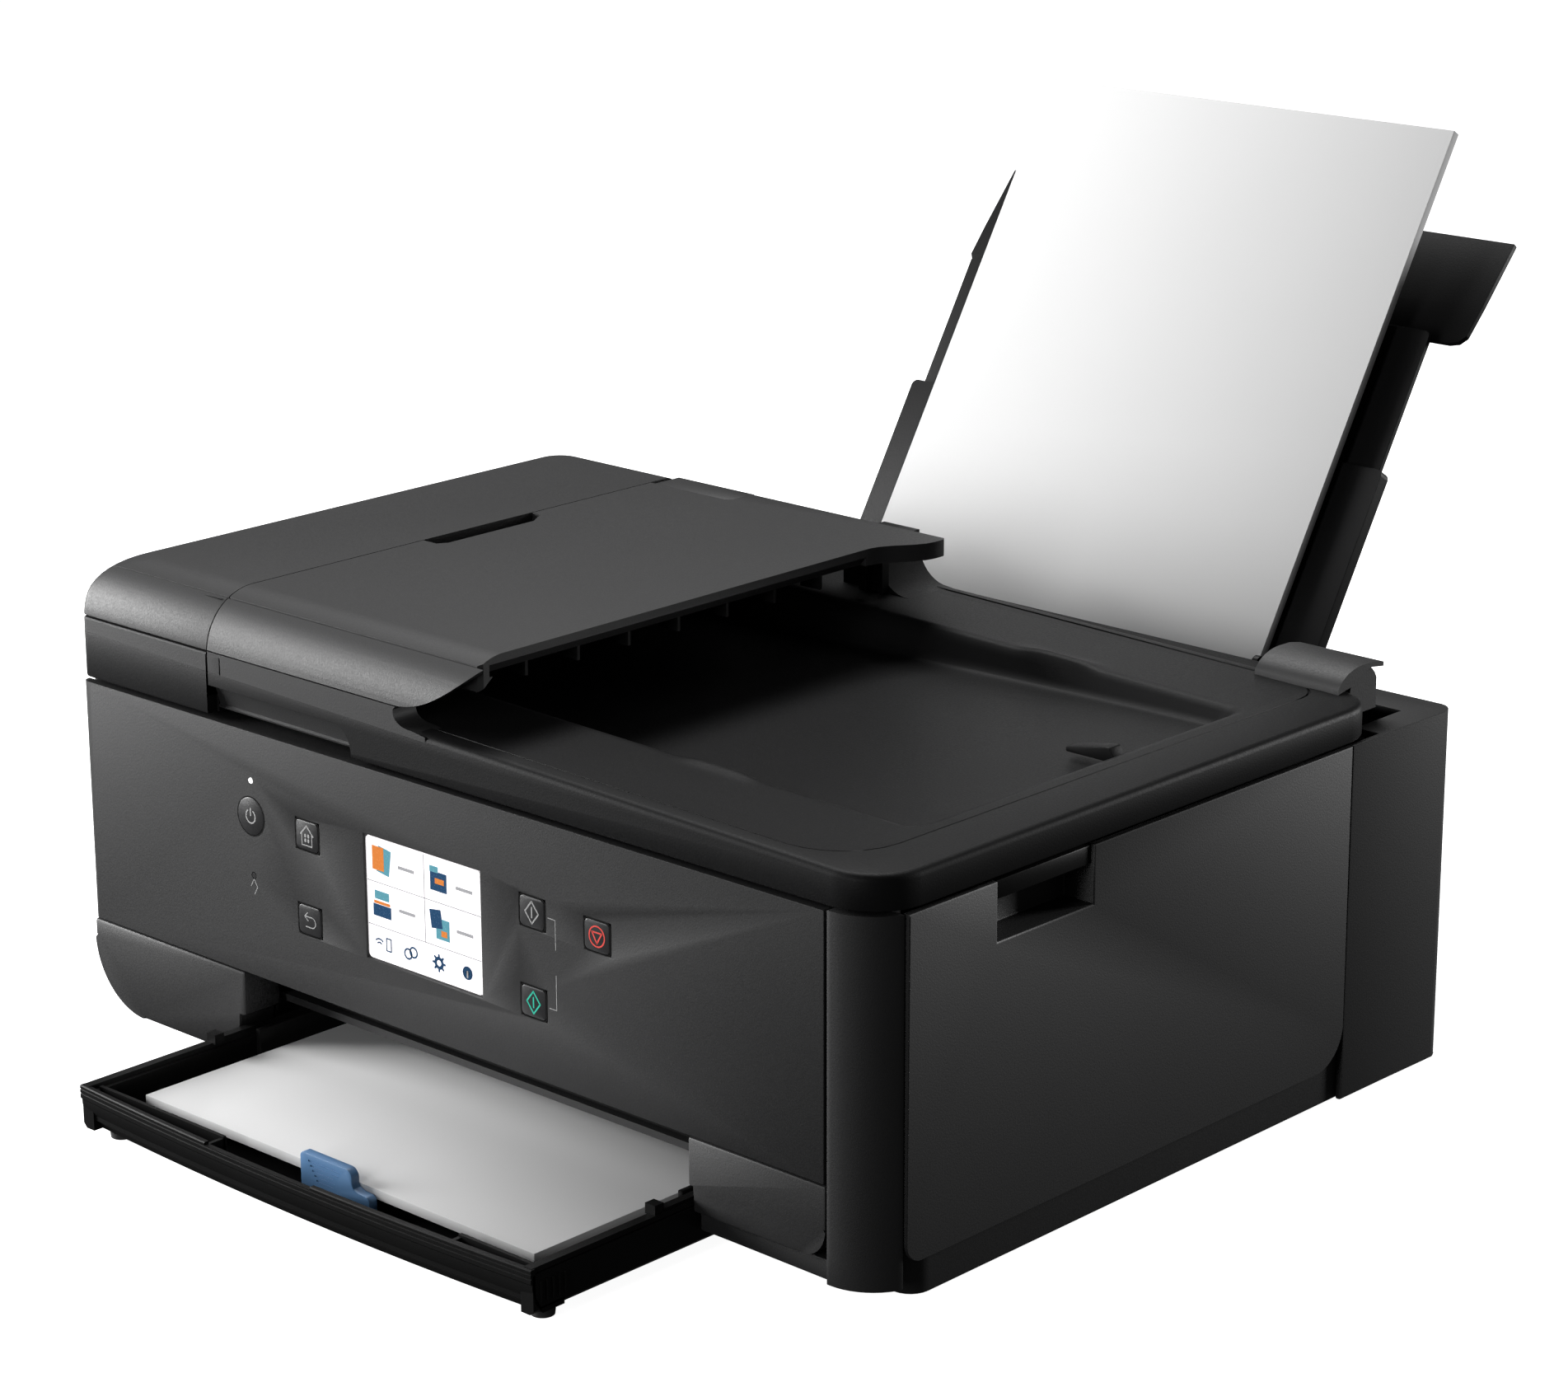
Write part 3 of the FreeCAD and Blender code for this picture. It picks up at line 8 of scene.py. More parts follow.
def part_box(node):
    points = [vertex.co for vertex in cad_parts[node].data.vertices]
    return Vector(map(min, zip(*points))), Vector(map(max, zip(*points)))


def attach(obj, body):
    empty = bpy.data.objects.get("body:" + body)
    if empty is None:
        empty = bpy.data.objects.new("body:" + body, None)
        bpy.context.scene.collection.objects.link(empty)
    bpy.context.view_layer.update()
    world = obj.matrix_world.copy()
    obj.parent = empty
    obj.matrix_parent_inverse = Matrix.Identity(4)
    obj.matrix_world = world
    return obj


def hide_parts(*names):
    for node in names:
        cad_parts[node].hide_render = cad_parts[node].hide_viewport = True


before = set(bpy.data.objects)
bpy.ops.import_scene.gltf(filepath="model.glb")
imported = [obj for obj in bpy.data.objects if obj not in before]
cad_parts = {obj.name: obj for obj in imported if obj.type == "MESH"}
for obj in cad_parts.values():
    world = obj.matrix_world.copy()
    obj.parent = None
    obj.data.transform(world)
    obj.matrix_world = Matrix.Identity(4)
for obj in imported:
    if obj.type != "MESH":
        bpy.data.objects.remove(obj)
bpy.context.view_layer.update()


# ---- Studio ----
# The printer stands on a pale sweep under four soft boxes: a strong one at the far left that grazes the
# front, a wide one overhead, one behind on the right for the side, and a narrow one in front that
# draws a soft line on the corner column. A long lens looks down at the front right corner.

face_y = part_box("operation_panel")[0].y

lens = bpy.data.cameras.new("studio_camera")
lens.lens = 96.04
lens.sensor_width = 36
lens.clip_end = 100
camera = bpy.data.objects.new("studio_camera", lens)
bpy.context.scene.collection.objects.link(camera)
bpy.context.scene.camera = camera

azimuth, elevation, roll = math.radians(43.05), math.radians(16.77), math.radians(-0.17)
backward = Vector((
    math.sin(azimuth) * math.cos(elevation),
    -math.cos(azimuth) * math.cos(elevation),
    math.sin(elevation),
))
rightward = Vector((0, 0, 1)).cross(backward).normalized()
upward = backward.cross(rightward)
turned = Matrix((rightward, upward, backward)).transposed().to_4x4() @ Matrix.Rotation(roll, 4, "Z")
camera.matrix_world = Matrix.Translation((1.09297, face_y - 0.98625, 0.63144)) @ turned


def soft_box(name, place, aim, width, height, power):
    light = bpy.data.lights.new(name, "AREA")
    light.shape = "RECTANGLE"
    light.size = width
    light.size_y = height
    light.energy = power
    lamp = bpy.data.objects.new(name, light)
    bpy.context.scene.collection.objects.link(lamp)
    lamp.location = place
    lamp.rotation_euler = (Vector(aim) - Vector(place)).to_track_quat("-Z", "Y").to_euler()


soft_box("left_front_box", (-1.75, -0.95, 0.5), (-0.15, -0.15, 0.1), 1.0, 0.9, 70)
soft_box("overhead_box", (-0.75, 0.5, 1.9), (-0.1, 0, 0.15), 1.2, 1.0, 30)
soft_box("right_rear_box", (1.1, 2.1, 0.5), (0.2, 0.15, 0.1), 0.5, 0.9, 34)
soft_box("front_box", (0.35, -2.2, 0.7), (0.2, -0.2, 0.1), 0.4, 1.0, 13)

world = bpy.data.worlds.new("studio")
bpy.context.scene.world = world
world.use_nodes = True
world.node_tree.nodes["Background"].inputs["Color"].default_value = (1, 1, 1, 1)
world.node_tree.nodes["Background"].inputs["Strength"].default_value = 0.045
bpy.context.scene.view_settings.view_transform = "Standard"

sweep_mesh = bpy.data.meshes.new("floor")
sweep_shape = bmesh.new()
bmesh.ops.create_grid(sweep_shape, x_segments=1, y_segments=1, size=20)
sweep_shape.to_mesh(sweep_mesh)
sweep_shape.free()
floor = bpy.data.objects.new("floor", sweep_mesh)
bpy.context.scene.collection.objects.link(floor)
floor.location.z = -0.0002
floor.visible_glossy = False
floor.visible_diffuse = False
floor_paint = bpy.data.materials.new("pale_floor")
floor_paint.use_nodes = True
floor_shader = floor_paint.node_tree.nodes["Principled BSDF"]
floor_shader.inputs["Base Color"].default_value = (0.85, 0.85, 0.85, 1)
floor_shader.inputs["Roughness"].default_value = 0.9
floor_shader.inputs["Emission Color"].default_value = (1, 1, 1, 1)
floor_shader.inputs["Emission Strength"].default_value = 0.95
sweep_mesh.materials.append(floor_paint)


# ---- Base and front frame ----
# The lower case and the inner front wall are injection moulded in black polystyrene. The wall ends at
# the right in the tall rounded corner column, and both have a fine matt grain from the spark-eroded
# tool, with a little more polish where hands and cloths rub them.

def noise(tree, place, scale, detail=2.0, rough=0.5):
    node = tree.nodes.new("ShaderNodeTexNoise")
    node.inputs["Scale"].default_value = scale
    node.inputs["Detail"].default_value = detail
    node.inputs["Roughness"].default_value = rough
    tree.links.new(place, node.inputs["Vector"])
    return node.outputs["Fac"]


def spread(tree, value, low, high):
    node = tree.nodes.new("ShaderNodeMapRange")
    node.inputs["From Min"].default_value = 0.3
    node.inputs["From Max"].default_value = 0.7
    node.inputs["To Min"].default_value = low
    node.inputs["To Max"].default_value = high
    tree.links.new(value, node.inputs["Value"])
    return node.outputs["Result"]


def tint(tree, value, dark, light):
    ramp = tree.nodes.new("ShaderNodeValToRGB")
    ramp.color_ramp.elements[0].color = (*dark, 1)
    ramp.color_ramp.elements[1].color = (*light, 1)
    ramp.color_ramp.elements[0].position = 0.3
    ramp.color_ramp.elements[1].position = 0.7
    tree.links.new(value, ramp.inputs["Fac"])
    return ramp.outputs["Color"]


def finish(name, dark, light, rough, grain=1400.0, depth=0.05, blotch=9.0, metal=0.0):
    """A moulded or rolled surface: its colour drifts, and its grain shows in polish and relief."""
    material = bpy.data.materials.new(name)
    material.use_nodes = True
    tree = material.node_tree
    shader = tree.nodes["Principled BSDF"]
    shader.inputs["Metallic"].default_value = metal
    place = tree.nodes.new("ShaderNodeTexCoord").outputs["Object"]
    drift = noise(tree, place, blotch, 3.0)
    tree.links.new(tint(tree, drift, dark, light), shader.inputs["Base Color"])
    fine = noise(tree, place, grain, 2.0, 0.6)
    tree.links.new(spread(tree, fine, *rough), shader.inputs["Roughness"])
    bump = tree.nodes.new("ShaderNodeBump")
    bump.inputs["Strength"].default_value = 0.5
    bump.inputs["Distance"].default_value = depth / 1000
    tree.links.new(fine, bump.inputs["Height"])
    tree.links.new(bump.outputs["Normal"], shader.inputs["Normal"])
    return material


def keep(material, *names):
    """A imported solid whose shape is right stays, and takes its finish."""
    for name in names:
        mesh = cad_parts[name].data
        mesh.materials.clear()
        mesh.materials.append(material)


def done(name, shape, material, body, stands_for=(), smooth=34):
    """Turns a shape drawn in millimetres, y from the panel's face, into a piece on its body."""
    bmesh.ops.remove_doubles(shape, verts=shape.verts, dist=0.001)
    bmesh.ops.recalc_face_normals(shape, faces=shape.faces)
    into_frame = Matrix.Translation((0, face_y, 0)) @ Matrix.Scale(0.001, 4)
    bmesh.ops.transform(shape, matrix=into_frame, verts=shape.verts)
    for face in shape.faces:
        face.smooth = True
    for edge in shape.edges:
        edge.smooth = len(edge.link_faces) == 2 and edge.calc_face_angle(0) < math.radians(smooth)
    mesh = bpy.data.meshes.new(name)
    shape.to_mesh(mesh)
    shape.free()
    mesh.materials.append(material)
    piece = bpy.data.objects.new(name, mesh)
    bpy.context.scene.collection.objects.link(piece)
    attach(piece, body)
    if stands_for:
        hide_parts(*stands_for)
    return piece


def bevelled(shape, edges, radius, segments=3):
    bmesh.ops.bevel(
        shape, geom=list(edges), offset=radius, affect="EDGES",
        segments=segments, profile=0.5, material=-1,
    )


def copy_of(name):
    """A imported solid's shape, merged, in the drawing's millimetres."""
    shape = bmesh.new()
    shape.from_mesh(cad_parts[name].data)
    out_of_frame = Matrix.Scale(1000, 4) @ Matrix.Translation((0, -face_y, 0))
    bmesh.ops.transform(shape, matrix=out_of_frame, verts=shape.verts)
    bmesh.ops.remove_doubles(shape, verts=shape.verts, dist=0.002)
    bmesh.ops.dissolve_limit(
        shape, angle_limit=math.radians(0.6), verts=shape.verts, edges=shape.edges,
    )
    return shape


def softened(name, material, body, radius=0.6, shortest=4.0):
    """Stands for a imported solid, with its long sharp edges broken as the mould leaves them."""
    shape = copy_of(name)
    sharp = [
        edge for edge in shape.edges
        if len(edge.link_faces) == 2 and edge.calc_length() > shortest
        and edge.calc_face_angle(0) > math.radians(50)
    ]
    bevelled(shape, sharp, radius, 2)
    return done(name + "_moulding", shape, material, body, (name,))


case_black = finish(
    "case_black", (0.012, 0.012, 0.0125), (0.016, 0.016, 0.0165), (0.48, 0.60), depth=0.1,
)
inner_black = finish(
    "inner_black", (0.006, 0.006, 0.006), (0.009, 0.009, 0.009), (0.36, 0.46), depth=0.03,
)

DULL = 0.12
inner_black.node_tree.nodes["Principled BSDF"].inputs["Specular IOR Level"].default_value = DULL

BASE_HALF, BASE_FRONT, BASE_FLOOR, BASE_CORNER = 211.6, 22, 4, 9


def on_flank(point):
    return abs(point.co.x) > BASE_HALF - 0.1


lower_case = copy_of("base_frame")
front_corners = [
    edge for edge in lower_case.edges
    if all(on_flank(point) and point.co.y < BASE_FRONT + 0.1 for point in edge.verts)
]
bevelled(lower_case, front_corners, BASE_CORNER, 6)
low_edges = [
    edge for edge in lower_case.edges
    if all(point.co.z < BASE_FLOOR + 0.1 for point in edge.verts)
    and len(edge.link_faces) == 2 and edge.calc_face_angle(0) > 1
]
underside = [
    edge for edge in low_edges
    if all(on_flank(point) or point.co.y < 32 and abs(point.co.x) > 195 for point in edge.verts)
]
bevelled(lower_case, underside, 1.2, 3)
done("base_frame_moulding", lower_case, case_black, "chassis", ("base_frame",))
softened("front_frame", case_black, "chassis", 0.8)


# ---- Lower front covers ----
# Two shallow polystyrene mouldings close the front beside the cassette's mouth. They clip to the
# inner front wall, and the left one carries the big lower corner of the machine.

softened("lower_left_cover", case_black, "chassis", 1.4)
softened("lower_right_cover", case_black, "chassis", 0.9)


# ---- Side panels ----
# Each side is one thin moulding, screwed on from inside, with a cup for the fingers that lift the
# scanner. Its edges are broken where it meets its neighbours, which makes the fine bright seams.

for side in ("right", "left"):
    softened(f"{side}_side_panel", case_black, "chassis", 0.8)


# ---- Rear casing ----
# The deep rear casing is moulded with the openings for the hopper, hinges, hatch and sockets. The
# hopper's frame is a duller moulding set into it, coloured darker than the case with painted shade.
# Four pan-head screws hold the casing to the base, and the hatch in the back is hinged at its lower
# edge.

# A darker copy of the case black with duller gloss. Its darker colour is painted shade, used on the
# lid's rim and landing, the feeder's rear wall and the rear mouldings.
shaded_case_black = finish("shaded_case_black", (0.006, 0.006, 0.0063), (0.008, 0.008, 0.0083), (0.45, 0.56), depth=0.1)
shaded_case_black.node_tree.nodes["Principled BSDF"].inputs["Specular IOR Level"].default_value = DULL

softened("rear_housing", case_black, "chassis", 0.9)
softened("rear_tray_frame", shaded_case_black, "chassis", 0.5)
softened("rear_access_cover", case_black, "access_cover", 0.4)
softened("power_inlet", inner_black, "chassis", 0.3)
softened("interface_ports", inner_black, "chassis", 0.3)


def block(shape, x, y, z):
    """A box between its ends along each axis; gives its corner points."""
    middle = [(low + high) / 2 for low, high in (x, y, z)]
    lengths = [high - low for low, high in (x, y, z)]
    matrix = Matrix.Translation(middle) @ Matrix.Diagonal((*lengths, 1))
    return bmesh.ops.create_cube(shape, size=1, matrix=matrix)["verts"]


HATCH_RIBS, HATCH_LEFT, HATCH_PITCH = 9, -84, 23
vents = bmesh.new()
for number in range(HATCH_RIBS):
    x = HATCH_LEFT + number * HATCH_PITCH
    rib = block(vents, (x, x + 12), (339.7, 340.4), (80, 82))
    bevelled(vents, {edge for point in rib for edge in point.link_edges}, 0.25, 2)
done("hatch_finger_ribs", vents, case_black, "access_cover")

steel = finish("screw_steel", (0.45, 0.45, 0.46), (0.6, 0.6, 0.6), (0.25, 0.4), 600, 0.01, metal=1.0)
keep(steel, "screws", "hinge_pins", "carriage_shaft")


# ---- Operation panel ----
# The tilting front panel is a shallow shell in the same grained black. Its keys are flush rubber-touch
# caps in round-cornered holes, printed with pale grey marks; the power lamp is a clear light guide.
# Thin dark rings drawn on the panel's face around the keys are painted shade for the gaps round them.

softened("operation_panel", case_black, "panel", 0.45)
key_black = finish("key_black", (0.018, 0.018, 0.019), (0.024, 0.024, 0.025), (0.34, 0.42), depth=0.015)
KEYS = {
    "power_button": (-112.2, 114.3), "home_button": (-79, 113.8), "back_button": (-79, 79.2),
    "black_start_button": (45.7, 113.1), "colour_start_button": (45.7, 78.1),
    "stop_button": (79.5, 112.2),
}
for key in KEYS:
    softened(key, key_black, key, 0.45, 0.2)
board_green = finish("board_green", (0.01, 0.09, 0.04), (0.02, 0.13, 0.06), (0.3, 0.4), 300, 0.02)
keep(board_green, "control_board", "main_board")

print_grey = finish("print_grey", (0.34, 0.34, 0.34), (0.42, 0.42, 0.42), (0.45, 0.55), depth=0.005)
print_red = finish("print_red", (0.75, 0.06, 0.05), (0.85, 0.09, 0.07), (0.4, 0.5), depth=0.005)
print_green = finish("print_green", (0.02, 0.52, 0.36), (0.03, 0.62, 0.44), (0.4, 0.5), depth=0.005)
PRINT_DEPTH = 0.06


def stroke(shape, path, width, y, closed=False):
    """A printed line: a thin bar for each run of the path, with round joints between them."""
    path = [Vector((x, y, z)) for x, z in path]
    for start, end in zip(path, path[1:] + path[:1] if closed else path[1:]):
        run = end - start
        turn = Matrix.Rotation(-math.atan2(run.z, run.x), 4, "Y")
        size = Matrix.Diagonal((run.length, PRINT_DEPTH, width, 1))
        bmesh.ops.create_cube(shape, size=1, matrix=Matrix.Translation((start + end) / 2) @ turn @ size)
    for joint in path:
        upright = Matrix.Translation(joint) @ Matrix.Rotation(math.pi / 2, 4, "X")
        bmesh.ops.create_cone(
            shape, cap_ends=True, segments=12, radius1=width / 2, radius2=width / 2,
            depth=PRINT_DEPTH * 0.98, matrix=upright,
        )


def arc(centre, radius, start, end, runs=20):
    """Points on a round stretch, from one angle to the other, in degrees."""
    angles = [math.radians(start + (end - start) * step / runs) for step in range(runs + 1)]
    return [(centre[0] + radius * math.cos(a), centre[1] + radius * math.sin(a)) for a in angles]


def diamond(x, z, wide, tall):
    return [(x - wide, z), (x, z + tall), (x + wide, z), (x, z - tall)]


KEY_FACE, PANEL_FACE = -0.22, -0.02
HAIR, FINE, BOLD = 0.42 * 0.7, 0.42, 0.6
x, z = KEYS["power_button"]
mark = bmesh.new()
stroke(mark, arc((x, z), 2.7, 125, 415, 24), BOLD, KEY_FACE)
stroke(mark, [(x, z + 0.4), (x, z + 3.3)], BOLD, KEY_FACE)
done("power_mark", mark, print_grey, "power_button")

x, z = KEYS["home_button"]
mark = bmesh.new()
stroke(mark, [(x - 3.6, z + 0.4), (x, z + 4.1), (x + 3.6, z + 0.4)], BOLD, KEY_FACE)
walls = [(x - 2.9, z + 0.8), (x - 2.9, z - 3.9), (x + 2.9, z - 3.9), (x + 2.9, z + 0.8)]
stroke(mark, walls, FINE, KEY_FACE)
for column in (-0.9, 0.9):
    for row in (-0.2, -2.1):
        stroke(mark, [(x + column, z + row), (x + column, z + row + 0.5)], 1.1, KEY_FACE)
done("home_mark", mark, print_grey, "home_button")

x, z = KEYS["back_button"]
mark = bmesh.new()
stroke(mark, [(x - 2.8, z + 1.5), (x + 1.2, z + 1.5)] + arc((x + 1.2, z - 0.6), 2.1, 90, -90, 12)
       + [(x - 2.4, z - 2.7)], FINE, KEY_FACE)
stroke(mark, [(x - 1.1, z + 3.2), (x - 2.9, z + 1.5), (x - 1.1, z - 0.2)], FINE, KEY_FACE)
done("back_mark", mark, print_grey, "back_button")

for key, ink in (("black_start_button", print_grey), ("colour_start_button", print_green)):
    x, z = KEYS[key]
    mark = bmesh.new()
    stroke(mark, diamond(x, z, 3.5, 4.3), BOLD, KEY_FACE, closed=True)
    stroke(mark, [(x, z + 1.9), (x, z - 1.9)], BOLD, KEY_FACE)
    done(key.replace("button", "mark"), mark, ink, key)

x, z = KEYS["stop_button"]
mark = bmesh.new()
stroke(mark, arc((x, z), 3.9, 0, 360, 28), BOLD, KEY_FACE)
stroke(mark, [(x - 2.5, z + 1.5), (x + 2.5, z + 1.5), (x, z - 2.7)], BOLD, KEY_FACE, closed=True)
done("stop_mark", mark, print_red, "stop_button")

POWER_HOLE, HOLE_CORNER, HOLE_RADIUS = 7.95, (4.7, 4.1), 2.2
# Dark rings on the panel's face around each key's hole: painted shade standing in for the shadow in the
# gap.
gap_shade_rings = bmesh.new()
for key, (x, z) in KEYS.items():
    if key == "power_button":
        ring = arc((x, z), POWER_HOLE, 0, 350, 35)
    else:
        ring = []
        for across, up, turn in ((1, 1, 0), (-1, 1, 90), (-1, -1, 180), (1, -1, 270)):
            centre = x + HOLE_CORNER[0] * across, z + HOLE_CORNER[1] * up
            ring += arc(centre, HOLE_RADIUS, turn, turn + 90, 5)
    stroke(gap_shade_rings, ring, 0.5, PANEL_FACE, closed=True)
done("key_gap_shade", gap_shade_rings, inner_black, "panel")
mark = bmesh.new()
stroke(mark, [(54, 113), (57.8, 113), (57.8, 101.5)], HAIR, PANEL_FACE)
stroke(mark, [(57.8, 91.5), (57.8, 78), (54, 78)], HAIR, PANEL_FACE)
alarm = diamond(-111.8, 85.4, 1.9, 3.1)
stroke(mark, alarm[1:], HAIR, PANEL_FACE)
stroke(mark, alarm[:2], HAIR, PANEL_FACE)
done("panel_print", mark, print_grey, "panel")

lamp_lit = finish("lamp_lit", (0.9, 0.9, 0.88), (1, 1, 1), (0.2, 0.3), depth=0.005)
lamp_shader = lamp_lit.node_tree.nodes["Principled BSDF"]
lamp_shader.inputs["Emission Color"].default_value = (1, 1, 1, 1)
lamp_shader.inputs["Emission Strength"].default_value = 1.2
LAMP, ALARM = (-111.8, 128.9), (-111.8, 90)


def light_guide(place, radius, tip):
    """A clear peg through the panel, seen end on."""
    peg = bmesh.new()
    along_y = Matrix.Translation((place[0], 2.65, place[1])) @ Matrix.Rotation(math.pi / 2, 4, "X")
    bmesh.ops.create_cone(
        peg, cap_ends=True, segments=28, radius1=radius, radius2=tip, depth=5.2, matrix=along_y,
    )
    return peg


lit_guide = light_guide(LAMP, 1.42, 1.42 * 0.8)
done("power_lamp_guide", lit_guide, lamp_lit, "panel", ("status_lenses",))
done("alarm_lamp_guide", light_guide(ALARM, 1.4, 1.2), key_black, "panel")


# ---- Touch screen ----
# A liquid crystal display behind a clear touch sheet fills the panel's window. It is lit from behind:
# two by two tiles with a picture each, and a row of small dark blue signs below them.

screen_white = finish("screen_white", (0.80, 0.78, 0.79), (0.84, 0.82, 0.83), (0.12, 0.2), depth=0.0)
screen_shader = screen_white.node_tree.nodes["Principled BSDF"]
screen_shader.inputs["Emission Color"].default_value = (1, 0.975, 0.99, 1)
screen_shader.inputs["Emission Strength"].default_value = 0.62
keep(screen_white, "touch_screen")

ink = {
    "blue": finish("screen_blue", (0.02, 0.07, 0.16), (0.03, 0.09, 0.19), (0.2, 0.3), depth=0.0),
    "teal": finish("screen_teal", (0.12, 0.36, 0.45), (0.15, 0.42, 0.5), (0.2, 0.3), depth=0.0),
    "orange": finish("screen_orange", (0.80, 0.24, 0.05), (0.88, 0.3, 0.07), (0.2, 0.3), depth=0.0),
    "line": finish("screen_line", (0.42, 0.42, 0.44), (0.5, 0.5, 0.52), (0.2, 0.3), depth=0.0),
}
GLASS = 0.76
LEFT, MIDDLE, RIGHT = -45.6, -13.6, 17.1
ROWS = (121.6, 104.2, 86.6, 73.4)
drawing = {colour: bmesh.new() for colour in ink}


def patch(colour, x, z, wide, tall, lean=0.0, layer=0):
    """A flat painted patch of the display's picture, turned by lean in degrees."""
    middle = Matrix.Translation((x, GLASS - 0.01 * layer, z))
    turn = Matrix.Rotation(math.radians(lean), 4, "Y")
    bmesh.ops.create_cube(
        drawing[colour], size=1, matrix=middle @ turn @ Matrix.Diagonal((wide, PRINT_DEPTH, tall, 1)),
    )


for z in ROWS[1:3]:
    patch("line", (LEFT + RIGHT) / 2, z, RIGHT - LEFT, 0.35)
patch("line", MIDDLE, (ROWS[0] + ROWS[2]) / 2, 0.35, ROWS[0] - ROWS[2])
TILE_ART = (
    (LEFT + 8, ROWS[0] - 8.7, (("teal", 1.6, 0.5, 7, 10.5, 8), ("orange", -1.6, 1.0, 6.5, 9.5, 0))),
    (MIDDLE + 8, ROWS[0] - 9.2, (("blue", 0, 0, 9, 7.6, 0), ("orange", 0.6, 0.2, 5, 2.2, 0),
                                 ("teal", -2.4, 4.6, 4.6, 2.4, 0))),
    (LEFT + 8, ROWS[1] - 8.6, (("blue", 0, -2.6, 10, 4.8, 0), ("orange", 0, 0.6, 9, 1.2, 0),
                               ("teal", 0, 3.6, 8, 3.4, 0))),
    (MIDDLE + 8, ROWS[1] - 9, (("teal", 1.8, -1.4, 7.4, 8.2, 0), ("blue", -1.8, 2.2, 6.2, 7.4, -8),
                               ("orange", 2.6, -3.0, 3.2, 2.4, 0))),
)
for x, z, patches in TILE_ART:
    for layer, (colour, right, up, wide, tall, lean) in enumerate(patches, 1):
        patch(colour, x + right, z + up, wide, tall, lean, layer)
    patch("line", x + 14, z, 9, 1.3)
QUARTER = (RIGHT - LEFT) / 4
for number in range(4):
    x, z = LEFT + QUARTER * (number + 0.5), (ROWS[2] + ROWS[3]) / 2
    signs = drawing["blue"]
    if number == 0:
        for radius in (1.6, 3.0):
            stroke(signs, arc((x - 2, z - 1.6), radius, 50, 130, 8), 0.6, GLASS)
        handset = [(x + 2, z - 2.4), (x + 4.6, z - 2.4), (x + 4.6, z + 2.6), (x + 2, z + 2.6)]
        stroke(signs, handset, 0.5, GLASS, True)
    elif number == 1:
        for turn in (-1.5, 1.5):
            stroke(signs, arc((x + turn, z + turn * 0.4), 2.0, 0, 360, 16), 0.7, GLASS)
    elif number == 2:
        stroke(signs, arc((x, z), 1.9, 0, 360, 16), 1.3, GLASS)
        for tooth in range(8):
            angle = tooth * math.pi / 4
            spoke = [(x + reach * math.cos(angle), z + reach * math.sin(angle)) for reach in (2.3, 3.2)]
            stroke(signs, spoke, 0.9, GLASS)
    else:
        stroke(signs, arc((x, z), 1.5, 0, 360, 16), 2.4, GLASS)
        stroke(drawing["line"], [(x, z - 1.6), (x, z + 0.5)], 0.8, GLASS - 0.03)
for colour, shape in drawing.items():
    done(f"screen_picture_{colour}", shape, ink[colour], "panel")


# ---- Scanner unit ----
# The flat-bed scanner is a closed case with a float glass window on top, a white sensor bar on a rail
# beneath it, side lips for the fingers and two arms at the back that turn on steel pins.

softened("scanner_frame", inner_black, "scanner", 0.5)
scanner_glass = finish("scanner_glass", (0.10, 0.12, 0.12), (0.13, 0.15, 0.15), (0.03, 0.06), depth=0.0)
scanner_glass.node_tree.nodes["Principled BSDF"].inputs["Transmission Weight"].default_value = 0.85
keep(scanner_glass, "platen_glass")
softened("scan_bar", inner_black, "scan_bar", 0.4)
keep(inner_black, "cover_hinge_brackets")


# ---- Document cover ----
# The scanner's lid is one big moulding. A round-cornered rim with a fine groove surrounds a sloping
# landing, whose floor is dished and ends in soft ridges where the scanned sheets come to rest. The rim,
# the landing and the paper stopper are coloured darker than the case with painted shade.

def stacked(shape, rings, steps=7):
    """Walls through a pile of round-cornered rectangles, closed at both ends.

    Each is (x span, y span, corner radii from the rear right anticlockwise, height, slope).
    """
    made = bmesh.ops.create_circle(shape, cap_ends=True, segments=4 * steps, radius=1)["verts"]
    edges = [edge for edge in shape.edges if edge.verts[0] in made]
    for level, (x, y, radii, height, slope) in enumerate(rings):
        if level:
            pushed = bmesh.ops.extrude_edge_only(shape, edges=edges)["geom"]
            fresh = {item for item in pushed if isinstance(item, bmesh.types.BMVert)}
            made = [
                next(e.other_vert(old) for e in old.link_edges if e.other_vert(old) in fresh)
                for old in made
            ]
            edges = [e for e in pushed if isinstance(e, bmesh.types.BMEdge) and set(e.verts) <= fresh]
        for number, point in enumerate(made):
            corner, step = divmod(number, steps)
            angle = math.pi / 2 * (corner + step / (steps - 1))
            radius = radii[corner]
            middle_x = x[1] - radius if corner in (0, 3) else x[0] + radius
            middle_y = y[1] - radius if corner in (0, 1) else y[0] + radius
            across = middle_x + radius * math.cos(angle)
            back = middle_y + radius * math.sin(angle)
            point.co = (across, back, height - slope * (across - RIM_RIGHT))
    bmesh.ops.contextual_create(shape, geom=edges)


def carved(shape, cutter, operation="DIFFERENCE"):
    """The shape with the cutter's space taken out, or only what they share."""
    pair = []
    for source in (shape, cutter):
        bmesh.ops.recalc_face_normals(source, faces=source.faces)
        mesh = bpy.data.meshes.new("blank")
        source.to_mesh(mesh)
        source.free()
        pair.append(bpy.data.objects.new("blank", mesh))
        bpy.context.scene.collection.objects.link(pair[-1])
    saw = pair[0].modifiers.new("saw", "BOOLEAN")
    saw.operation = operation
    saw.solver = "EXACT"
    saw.object = pair[1]
    result = bmesh.new()
    result.from_object(pair[0], bpy.context.evaluated_depsgraph_get())
    for blank in pair:
        mesh = blank.data
        bpy.data.objects.remove(blank)
        bpy.data.meshes.remove(mesh)
    return result


